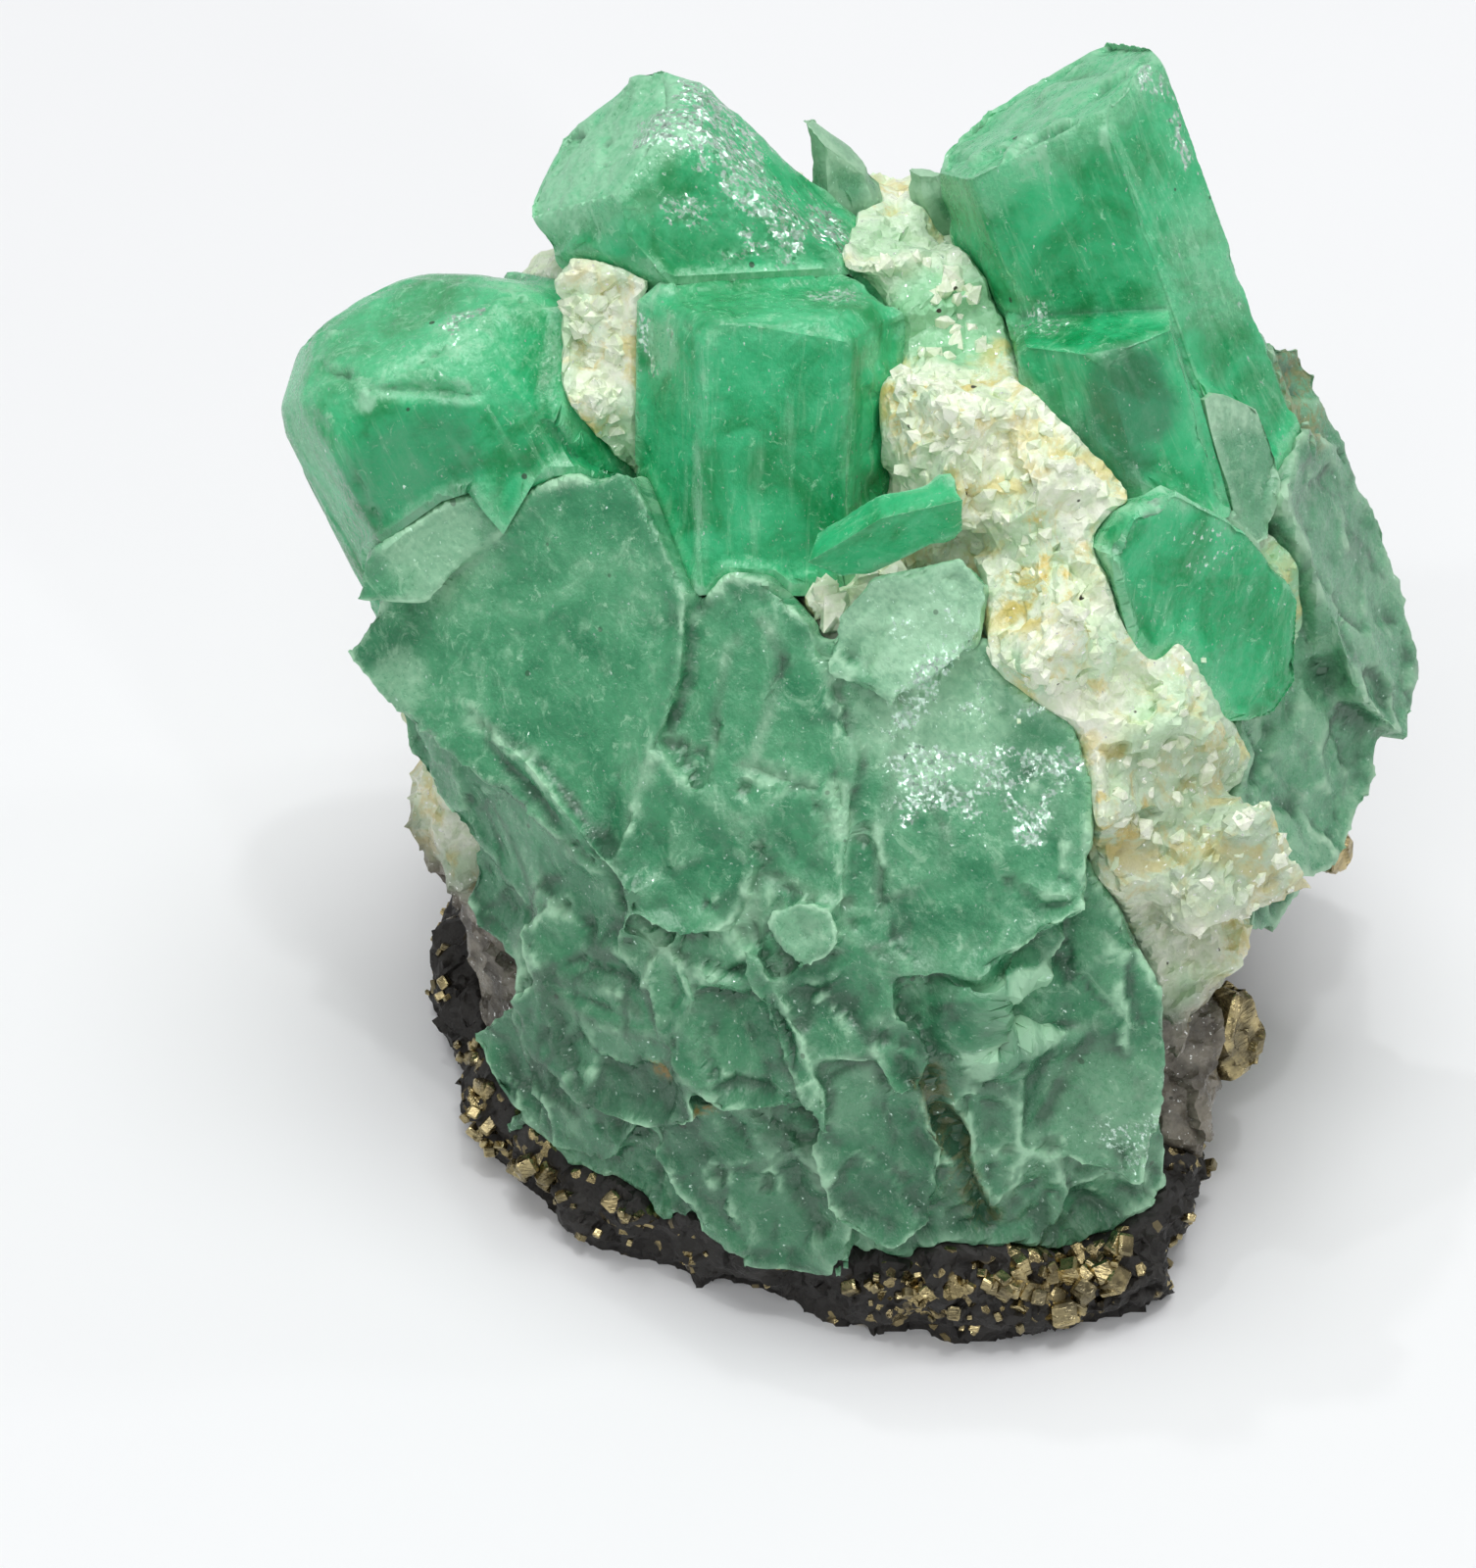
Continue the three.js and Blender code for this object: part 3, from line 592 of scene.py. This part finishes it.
def pyrite(name):
    """Brass-yellow metal with striped, slightly tarnished faces."""
    finish = Finish(name)
    tarnish = finish.noise(1.2, detail=5)
    colour = finish.mix(finish.between(tarnish, 0.35, 0.65), BRIGHT_BRASS, TARNISHED_BRASS)
    finish.set(Base_Color=colour, Metallic=finish.between(tarnish, 0.5, 0.8, 1.0, 0.7))
    finish.set(Roughness=finish.between(finish.noise(0.4, detail=3), 0.3, 0.7, 0.16, 0.38))
    drawn = finish.vector("MULTIPLY", finish.place, (1.0, 1.0, 6.0))
    finish.set(Normal=finish.bump(finish.noise(0.8, drawn, detail=2), 0.08, 0.8))
    return finish.material


CLEAR_GREEN = emerald("emerald_clear", (0.001, 0.34, 0.09), (0.045, 0.66, 0.27),
                      (0.30, 0.66, 0.41), clarity=0.25, haze=0.12, specks=0.8)
FRONT_GREEN = emerald("emerald_front", (0.03, 0.27, 0.115), (0.09, 0.42, 0.20),
                      (0.42, 0.74, 0.49), clarity=0.15, haze=0.2, specks=0.5)
PALE_GREEN = emerald("emerald_pale", (0.08, 0.32, 0.16), (0.16, 0.45, 0.25),
                     (0.4, 0.64, 0.44), clarity=0.15, haze=0.24)
CALCITE = calcite("sugary_calcite")
SHALE = crust("shale_with_pyrite")
PYRITE = pyrite("pyrite_metal")


# Shaping
# Relief of a single crystal: layers, stripes, soft hollows, and the sizes of its broken blocks
LAYER_STEP = 0.08
LAYERS = 3.0
STRIPE_DEPTH = 0.04
HOLLOW_DEPTH = 0.1
BLOCK, SMALL_BLOCK, NICK = 2.6, 0.9, 0.8
# Relief of the crystals that grew together
BEND = 1.6
STRETCH = 0.62
CREASE_DEPTH = 0.2
NIBBLE_DEPTH = 0.45
CRACK_DEPTH = 0.7
RIM_FROST = 0.8
# A ridge is full where it stands out by this much of what this many rounds of smoothing leave
RIDGE_ROUNDS = 6
CRYSTAL_RIDGE, SHELL_RIDGE = 0.08, 0.09


def across(axis, front):
    """Three directions of a crystal: towards its front, sideways and along it."""
    along = np.array(axis, float)
    along /= np.linalg.norm(along)
    out = np.array(front, float)
    out -= along * (out @ along)
    out /= np.linalg.norm(out)
    return np.stack([out, np.cross(along, out), along])


def glitter_and_painted_glint(form, places, seed):
    """Where small broken faces mirror the light, with a glint painted as paler colour: in patches
    round the listed places.
    """
    patchy = ramp(0.3, 0.55, clouds(form.rest, 1.5, seed + 5))
    return patchy * spots(form.rest, places, seed, 0.9)


def crystal(name, material, tip, axis, front, seed, slant=(0, 0), end_frost=0.7,
            band=1.5, rough_end=0.12, wear=0.14, edge_frost=0.35, frosted=(), glints=(),
            shaded=(), rounding=1):
    """One crystal: grown in layers with fine stripes along it, frosted and broken at its end and
    worn on its edges. Its end leans by slant off square to its axis, and is frosted down to
    band below it."""
    form = Form(name, rounding=rounding)
    turned = across(axis, front)
    grown = (form.points - np.array(tip)) @ turned.T
    cap = turned[2] + turned[1] * slant[0] + turned[0] * slant[1]
    cap /= np.linalg.norm(cap)
    below = -(form.points - np.array(tip)) @ cap
    facing = form.normals @ cap
    on_end = ramp(0.6, 0.85, facing) * ramp(2.5, 0.5, below)
    side = 1 - ramp(0.3, 0.6, np.abs(form.normals @ turned[2]))
    # layers that stopped growing, and stripes along the crystal
    drawn = grown * np.array([1, 1, 0.12])
    layers = clouds(drawn, 2.6, seed) * 5
    terrace = np.floor(layers) + ramp(0.0, 0.2, layers % 1)
    height = -LAYER_STEP * (LAYERS - np.minimum(terrace, LAYERS)) * side
    height -= STRIPE_DEPTH * clouds(grown * np.array([1, 1, 0.05]), 0.5, seed + 3, 2) * side
    height -= HOLLOW_DEPTH * clouds(form.points, 3.0, seed + 4)
    # a broken end
    blocks, _ = grains(form.points, BLOCK, seed + 5)
    small_blocks, _ = grains(form.points, SMALL_BLOCK, seed + 6)
    height += on_end * rough_end * (blocks - 0.7 + 0.35 * small_blocks)
    # worn and chipped edges
    chipped = ramp(0.45, 0.7, clouds(form.points, 1.6, seed + 9))
    nick, _ = grains(form.points, NICK, seed + 13)
    near_edge = ramp(0.7, 0.0, form.edge)
    height -= wear * near_edge * (0.35 + chipped * (0.9 + 0.9 * nick))
    form.push(smoothed(height, form.tris, 1))
    ridge = form.ridges(RIDGE_ROUNDS, CRYSTAL_RIDGE)
    form.close_gap()
    wavy = below + 1.6 * (clouds(form.rest, 2.4, seed + 21) - 0.5)
    frost = end_frost * np.maximum(on_end, 0.8 * ramp(band, band * 0.4, wavy))
    frost += edge_frost * ramp(0.7, 0.1, form.edge) * (0.2 + 0.8 * chipped)
    frost += 0.4 * ramp(0.3, 1.0, ridge)
    frost = np.clip(np.maximum(frost, spots(form.rest, frosted, seed + 31)), 0, 1)
    # painted shade in the hollows beside ridges and at the listed shaded places
    shade = np.maximum(0.6 * ramp(-0.4, -1.5, ridge), spots(form.rest, shaded, seed + 61))
    form.piece(material, {
        "frost": frost, "glitter_and_painted_glint": glitter_and_painted_glint(form, glints, seed + 41), "shade": shade,
        "grown": grown + seed * 3.7})


crystal("back_left_crystal", CLEAR_GREEN, (-10, 12, 45.5), (-0.705, 0.174, 0.68),
        (0.23, -0.8, 0.45), 11, slant=(0, 0.2), band=1.2, rough_end=0.3,
        frosted=[(-11.3, 12, 44.4, 4.5, 0.9), (-9.5, 9.5, 45, 2.5, 0.5)],
        glints=[(-7.9, 11.3, 47.3, 1.8, 1), (-5, 12.8, 47.1, 2.6, 1), (-3.7, 10, 45.5, 3.4, 0.9),
                (-2.4, 8.5, 43.7, 2.6, 0.9), (0.4, 10.3, 42.4, 2.2, 1)])
crystal("back_right_crystal", CLEAR_GREEN, (9.6, 12.4, 47.2), (-0.36, 0.36, 0.86),
        (-0.25, -0.85, 0.45), 23, slant=(-0.16, 0.1), band=2.2, rough_end=0.3,
        end_frost=0.5,
        frosted=[(8.9, 8.7, 48, 1.4, 0.8), (17.8, 8, 42, 3.5, 0.4), (15.6, 5.3, 42, 2, 0.3)],
        shaded=[(13.4, 0.5, 39.6, 2.6, 0.75), (12.6, 0.6, 37, 2.6, 0.75)],
        glints=[(14.2, 11.2, 50.2, 0.9, 1), (14.8, 10.9, 49, 0.9, 1), (15.4, 10.5, 47.8, 0.9, 1),
                (16, 10.2, 46.6, 0.8, 0.9), (9.5, 5, 40.5, 1.5, 0.6)])
crystal("left_crystal", CLEAR_GREEN, (-19.6, 9.6, 38.8), (-0.42, 0.32, 0.86),
        (-0.1, -0.8, 0.55), 37, slant=(0.14, 0.3), band=1.6, wear=0.3, end_frost=0.3,
        rounding=60,
        frosted=[(-24.3, 6.2, 36, 3.4, 0.35), (-24.5, 3.5, 33, 2.5, 0.3),
                 (-20.9, 3, 38.1, 0.7, 1)],
        shaded=[(-19, 1.6, 34.5, 4, 0.5)], glints=[(-16.7, 6.7, 39.8, 1.2, 0.8)])
crystal("centre_crystal", CLEAR_GREEN, (-2.7, 6.6, 41.7), (0.02, 0.42, 0.9),
        (0.05, -0.9, 0.42), 41, slant=(0, 0.12), band=1.8, end_frost=0.12, rounding=6,
        frosted=[(-7.4, 4, 40.5, 1.6, 0.6), (2.6, 3, 40.5, 1.2, 0.4), (2.8, 2.5, 37.5, 0.8, 0.4)],
        glints=[(-7.6, 4.2, 40.3, 1.6, 0.8), (0.3, 5.7, 41.9, 1.4, 0.8)])
crystal("right_crystal", CLEAR_GREEN, (17.3, -3.5, 37.3), (0.3, 0.3, 0.9),
        (0.54, -0.81, 0.33), 53, band=1.5, end_frost=0.5, edge_frost=0.75, wear=0.4,
        glints=[(17.3, -2.5, 33.9, 1.5, 0.4)])
crystal("grey_crystal", PALE_GREEN, (17.7, 0.9, 38.3), (0.3, 0.3, 0.9),
        (0.57, -0.6, 0.56), 61, band=1.5, edge_frost=0.4, wear=0.4)
crystal("edge_plate", CLEAR_GREEN, (2.9, -4.7, 36.1), (0.9, 0.1, 0.2),
        (0.14, -0.97, -0.2), 67, band=-1, end_frost=0, edge_frost=0.4)
crystal("back_spike", PALE_GREEN, (0.6, 15.2, 43.6), (-0.15, 0.2, 0.95),
        (0.2, -0.9, 0.3), 71)
crystal("small_spike", PALE_GREEN, (4.6, 14.8, 42.4), (-0.3, 0.1, 0.95),
        (0.2, -0.9, 0.3), 79)


def line_distance(points, path):
    """How far each point is from a path of straight lines."""
    away = np.full(len(points), FAR)
    for start, end in zip(path, path[1:]):
        start, step = np.array(start, float), np.array(end, float) - start
        share = np.clip((points - start) @ step / (step @ step), 0, 1)
        away = np.minimum(away, np.linalg.norm(points - start - share[:, None] * step, axis=1))
    return away


def shells(name, material, run, seed, voxel, size=2.8, depth=0.42, frosted=(), glints=(),
           stained=(), crack=(), calm=(), filled=(), shade_by_height=((20, 0), (0, 0))):
    """Grown-together crystals that broke into long flakes along the direction run, with pale
    rims. The flakes are low on the calm places, hollows are made up where it is filled, and
    the last argument gives two heights with the painted shade at each, from high to low, so
    that lower down the flakes get more painted shade."""
    form = Form(name, voxel=voxel, rounding=2)
    crease = distances(sharp_points(*NODE_MESHES[name], inward=True), form.points)
    form.push(spots(form.points, filled, seed + 70, 0.1))
    lively = 1 - 0.9 * spots(form.points, calm, seed + 71, 0.3)
    run = np.array(run, float)
    run /= np.linalg.norm(run)
    bent = form.points + BEND * np.stack([clouds(form.points, 4.5, seed + 60 + axis) - 0.5
                                          for axis in range(3)], axis=1)
    drawn = bent - STRETCH * np.outer(bent @ run, run)
    broad, broad_border = grains(drawn, size * 2.2, seed + 2)
    flake, border = grains(drawn, size, seed)
    chip, _ = grains(drawn, size * 0.38, seed + 3)
    height = smoothed(lively * depth * (1.1 * broad + flake + 0.35 * chip - 0.8), form.tris, 1)
    height -= 0.1 * clouds(drawn, 0.7, seed + 15) + 0.2 * clouds(form.points, 3.0, seed + 16)
    unfilled = 1 - ramp(0.1, 0.5, spots(form.points, filled, seed + 70, 0.1))
    height -= CREASE_DEPTH * ramp(0.6, 0.0, crease) * unfilled
    height *= 0.25 + 0.75 * ramp(0.1, 1.4, form.edge)
    # the crack, found on the surface by its place seen from the front, and nibbled rims
    flat = np.array([1, 0.3, 1])
    torn = line_distance(bent * flat, np.array(crack) * flat if crack else ())
    torn -= 0.25 * clouds(form.points, 0.9, seed + 17)
    height -= CRACK_DEPTH * ramp(0.4, 0.0, torn)
    nibbled = ramp(0.45, 0.75, clouds(form.points, 1.3, seed + 18))
    height -= NIBBLE_DEPTH * nibbled * ramp(0.7, 0.0, form.edge)
    form.push(height)
    ridge = form.ridges(RIDGE_ROUNDS, SHELL_RIDGE)
    # pale rims and raised flakes
    chipped = ramp(0.4, 0.65, clouds(form.rest, 2.2, seed + 9))
    pale = RIM_FROST * ramp(0.3, 1.2, ridge) * (0.15 + 0.85 * chipped)
    pale += 0.65 * ramp(0.6, 0.0, form.edge) * (0.35 + 0.65 * chipped)
    pale += 0.25 * lively * ramp(0.0, 0.9, flake + 0.4 * chip)
    frost = np.clip(np.maximum(pale, spots(form.rest, frosted, seed + 31)), 0, 1)
    frost *= 1 - ramp(0.5, 0.2, torn)
    # painted shade in hollows, on low flakes and in creases, and dark cracks
    shade = 0.6 * ramp(-0.4, -1.6, ridge) + 0.3 * lively * ramp(0.1, -0.8, flake + 0.4 * chip)
    broken = clouds(form.rest, 3.0, seed + 19)
    shade += 0.55 * unfilled * ramp(0.5, 0.1, crease) * (0.3 + 0.7 * ramp(0.6, 0.4, broken))
    cracked = lively * ramp(0.5, 0.4, broken)
    shade += cracked * (0.5 * ramp(0.14, 0.0, border) + 0.5 * ramp(0.07, 0.0, broad_border))
    # painted shade that grows from the first height down to the second, by the amounts given for
    # them
    (high, least), (low, most) = shade_by_height
    shade += least + (most - least) * ramp(high, low, form.rest[:, Z])
    shade += 1.4 * ramp(0.5, 0.2, torn)
    form.close_gap()
    grown = form.rest @ across(run, (0.05, -0.9, 0.42)).T
    form.piece(material, {
        "frost": frost, "glitter_and_painted_glint": glitter_and_painted_glint(form, glints, seed + 41),
        "stain": np.maximum(spots(form.rest, stained, seed + 51), 0.3 * ramp(0.8, 0.3, torn)),
        "shade": np.clip(shade * (1 - 0.8 * frost), 0, 1), "grown": grown + seed * 3.7})


shells("front_crystals", FRONT_GREEN, (0.5, 0.2, -0.85), 83, 0.25,
       shade_by_height=((27, 0.05), (9, 0.6)), filled=[(7.4, -14.2, 16.8, 3.4, 1.5)],
       calm=[(-22, 1, 26, 4, 1), (-14, -3, 27, 8, 1), (-17, 0, 31, 5, 1),
             (-9.5, -1, 33, 5, 1), (-12, -6, 22, 4, 0.8), (-4.5, -7, 28, 6, 0.9),
             (5, -10, 27, 6, 0.8), (7, -14, 21, 4, 0.6), (12, -16, 14, 5, 0.5),
             (3.5, -6.5, 33.5, 4, 0.3)],
       frosted=[(3.7, -6.3, 33.6, 4, 0.8), (4.5, -9.5, 29.8, 4.5, 0.6),
                (0.3, -10.7, 26.6, 0.9, 0.8), (0.6, -11, 25, 1, 0.8),
                (-1.1, -14.4, 21.3, 1.8, 0.4), (13.8, -16.8, 11.4, 4.5, 0.35),
                (-17.9, 0.6, 31.7, 3, 0.6), (-20, -1.2, 24.6, 1.8, 0.5)],
       glints=[(5.5, -8.8, 28.8, 4.2, 1), (9, -10, 27.8, 3, 1), (3.7, -6.3, 33.6, 3, 0.5),
               (-12, -4, 25.5, 1, 0.8), (-17, -0.5, 28.5, 0.8, 0.8),
               (14, -17, 10.5, 1.8, 0.6)],
       crack=[(4.7, -17.6, 14.8), (5.1, -17.7, 13), (5.9, -17.8, 11), (6.1, -17.9, 9),
              (7.5, -18.1, 6.3)],
       stained=[(-8, -14.6, 12.5, 0.7, 1), (-5.5, -16, 11.4, 0.6, 1)])
shells("right_flank", PALE_GREEN, (0.1, 0.2, -0.95), 89, 0.32, size=2.0,
       depth=0.35, stained=[(22.3, 7.7, 35, 3, 0.6)])


def rubble(name, material, seed, voxel, marks, size=2.3, depth=0.5, rounding=10,
           filled=()):
    """Broken ground: rounded lumps covered with grains of two sizes. The function marks gives
    what the material reads."""
    form = Form(name, voxel=voxel, rounding=rounding)
    form.push(spots(form.points, filled, seed + 70, 0.1))
    height = -0.5 * (1 - clouds(form.points, 3.5, seed + 30)) * depth
    for layer, (grain_size, share) in enumerate(((size, 1.0), (size * 0.4, 0.35))):
        tops, _ = grains(form.points, grain_size, seed + 5 * layer)
        height += depth * share * (tops - 0.3)
    form.push(height)
    form.close_gap()
    form.piece(material, marks(form), smooth_below=28.0)
    return form


def calcite_marks(form):
    """Where the calcite is grey (low down, in patches at the back and round one listed place),
    stained yellow, and green from the emerald.
    """
    points = form.rest
    greyer = ramp(17.0, 11.0, points[:, Z] + 6 * (clouds(points, 6, 5) - 0.5))
    rear = ramp(9, 15, points[:, Y]) * ramp(38, 30, points[:, Z])
    greyer = np.maximum(greyer, rear * ramp(0.3, 0.6, clouds(points, 7, 6)))
    stain = 0.7 * ramp(0.4, 0.6, clouds(points, 5, 7))
    stain = np.maximum(stain, spots(points, [
        (5, 1.7, 40.5, 4, 1), (8.9, -4.7, 34.5, 3.5, 1), (-10.8, 3.4, 37, 2, 0.8),
        (13, -11.5, 25.5, 2.5, 1)], 8))
    green = ramp(0.5, 0.7, clouds(points, 4, 9)) * 0.35
    green = np.maximum(green, spots(points, [
        (5.5, 6.5, 40, 3.5, 0.9), (3, 10, 41, 2.5, 0.5), (-8.8, 3, 35, 2.5, 0.5),
        (22, 0.5, 29, 3.5, 0.8), (8, -9, 31, 2, 0.5), (9, -4, 35, 2, 0.3),
        (17, -9, 25, 6, 0.4)], 4))
    greyer = np.maximum(greyer, spots(points, [(16, -10, 22, 7, 0.25)], 6))
    return {"greyer": greyer, "stain": stain, "green": green}


matrix_form = rubble("matrix", CALCITE, 97, 0.36, calcite_marks,
                     filled=[(-1, -4, 33, 3, 1.2)])


def crust_marks(form):
    """Where the crust is full of brassy grains."""
    points = form.rest
    brass = 0.02 + 0.25 * ramp(0.45, 0.7, clouds(points, 4.0, 15))
    brass = np.maximum(brass, spots(points, [(11, -18, 4, 3.5, 0.5), (4, -20, 3, 2, 0.4)], 3))
    return {"brass": brass}


crust_form = rubble("shale_crust", SHALE, 101, 0.3, crust_marks, size=1.1, depth=0.3,
                    rounding=2)


def metal_crystal(name, seed):
    """A pyrite crystal with uneven faces."""
    form = Form(name)
    blocks, _ = grains(form.points, 1.3, seed)
    form.push(0.2 * (blocks - 0.8))
    form.close_gap()
    form.piece(PYRITE, smooth_below=20.0)


metal_crystal("right_pyrite", 103)
metal_crystal("flank_pyrite", 107)


def cut_cube():
    """A cube with its edges cut off, as points and triangles."""
    cut = 0.13
    build = bmesh.new()
    bmesh.ops.create_cube(build, size=1.0)
    bmesh.ops.bevel(build, geom=build.edges[:], offset=cut, segments=1, affect="EDGES")
    return grain_mesh(build)


def crumb():
    """An uneven broken grain, as points and triangles."""
    corners = 14
    build = bmesh.new()
    random = np.random.default_rng(5)
    for _ in range(corners):
        corner = random.normal(size=3)
        build.verts.new(corner / np.linalg.norm(corner) * random.uniform(0.45, 0.65))
    bmesh.ops.convex_hull(build, input=build.verts)
    loose = [vert for vert in build.verts if not vert.link_faces]
    bmesh.ops.delete(build, geom=loose, context="VERTS")
    return grain_mesh(build)


def grain_mesh(build):
    """The points and triangles of a bmesh, which is freed."""
    bmesh.ops.recalc_face_normals(build, faces=build.faces)
    bmesh.ops.triangulate(build, faces=build.faces)
    build.verts.index_update()
    points = np.array([vert.co for vert in build.verts])
    tris = np.array([[vert.index for vert in face.verts] for face in build.faces])
    build.free()
    return points, tris


def scatter(name, material, ground, shape, places, seed, sunk=-0.1, least_open=0.8):
    """Small crystals partly sunk in a form's surface. Each place is x, y, z, the radius round it,
    how many there are and their usual size. They sink in by sunk times that size."""
    grain, grain_tris = shape
    random = np.random.default_rng(seed)
    lowest = 1.0
    seen = (ground.open > least_open) & (ground.points[:, Z] > lowest)
    points, tris = [], []
    for x, y, z, radius, count, size in places:
        away = np.where(seen, np.linalg.norm(ground.rest - (x, y, z), axis=1), np.inf)
        # a place off the surface takes the nearest millimetre of it
        near = np.flatnonzero(away <= max(radius, away.min() + 1))
        for spot in random.choice(near, count):
            turn = np.linalg.qr(random.normal(size=(3, 3)))[0]
            turn *= np.linalg.det(turn)
            scale = size * random.uniform(0.5, 1.3) * random.uniform(0.7, 1.2, 3)
            middle = ground.points[spot] - sunk * size * ground.normals[spot]
            tris.append(grain_tris + len(points) * len(grain))
            points.append((grain * scale) @ turn.T + middle)
    points = np.concatenate(points)
    points[:, Z] = np.maximum(points[:, Z], FOOT)
    made = make_object(name, points, np.concatenate(tris), material)
    print("made", name, len(made.data.polygons), "triangles")


CUT_CUBE = cut_cube()
CRUMB = crumb()
scatter("pyrite_grains", PYRITE, crust_form, CUT_CUBE, [
    (11, -17.5, 4, 3.2, 24, 0.85), (7.7, -18.8, 4.5, 1.8, 9, 0.75), (4, -20, 3, 3, 7, 0.6),
    (-14, -12, 4, 5, 20, 0.75), (-16, -6, 4, 5, 8, 0.6), (0, -12, 3, 40, 150, 0.42)], 131)
scatter("calcite_grains", CALCITE, matrix_form, CRUMB, [
    (5, 3, 40, 6, 110, 0.9), (-10, 4, 37, 5, 60, 0.9), (10, -5, 34, 6, 90, 0.8),
    (16, -9, 25, 7, 90, 0.8)], 137, sunk=0.2)
scatter("foot_grains", CALCITE, matrix_form, CRUMB, [
    (0.3, -3.6, 32.3, 3, 50, 1.5)], 139, sunk=-0.15, least_open=0.1)


# Floor, light and camera
FLOOR_HALF = 3.0
WORLD_LIGHT = 0.3
LENS = 101.25
SENSOR_WIDTH = 36
CAMERA_PLACE = (-0.004, -0.1551, 0.159)
CAMERA_TILT = 47.6


def floor_material():
    finish = Finish("pale_floor")
    soft = finish.noise(40.0, detail=2)
    finish.set(Base_Color=finish.mix(soft, (0.86, 0.87, 0.885), (0.88, 0.89, 0.905)))
    finish.set(Roughness=0.85)
    return finish.material


def add_floor():
    half = FLOOR_HALF
    mesh = bpy.data.meshes.new("floor")
    corners = [(-half, -half, 0), (half, -half, 0), (half, half, 0), (-half, half, 0)]
    mesh.from_pydata(corners, [], [(0, 1, 2, 3)])
    mesh.materials.append(floor_material())
    floor = bpy.data.objects.new("floor", mesh)
    bpy.context.scene.collection.objects.link(floor)


def add_light(name, place, size, power, aim=(0, 0, 0.02)):
    data = bpy.data.lights.new(name, "AREA")
    data.shape = "DISK"
    data.size = size
    data.energy = power
    light = bpy.data.objects.new(name, data)
    light.location = place
    light.rotation_euler = (Vector(aim) - Vector(place)).to_track_quat("-Z", "Y").to_euler()
    bpy.context.scene.collection.objects.link(light)


def add_camera():
    data = bpy.data.cameras.new("photo_camera")
    data.sensor_width = SENSOR_WIDTH
    data.lens = LENS
    data.clip_start = 0.01
    camera = bpy.data.objects.new("photo_camera", data)
    camera.location = CAMERA_PLACE
    camera.rotation_euler = (math.radians(CAMERA_TILT), 0, 0)
    bpy.context.scene.collection.objects.link(camera)
    bpy.context.scene.camera = camera


add_floor()
add_light("overhead", (0.02, 0.07, 0.6), 0.42, 1.95)
add_light("front_high", (-0.08, -0.36, 0.5), 0.3, 0.5)
# small lamps whose reflections glint on the crystal faces
add_light("glint_back", (-0.12, 0.25, 0.55), 0.025, 0.25)
add_light("glint_right", (0.50, 0.05, 0.22), 0.05, 0.2)
add_light("glint_front", (0.26, -0.42, 0.22), 0.03, 0.2)
add_light("glint_left", (-0.40, -0.15, 0.40), 0.025, 0.2)
add_light("glint_top", (0.06, -0.06, 0.60), 0.025, 0.25)
add_camera()

world = bpy.data.worlds.new("soft_room")
world.use_nodes = True
world.node_tree.nodes["Background"].inputs["Color"].default_value = (1, 1, 1, 1)
world.node_tree.nodes["Background"].inputs["Strength"].default_value = WORLD_LIGHT
bpy.context.scene.world = world
bpy.context.scene.view_settings.view_transform = "Standard"
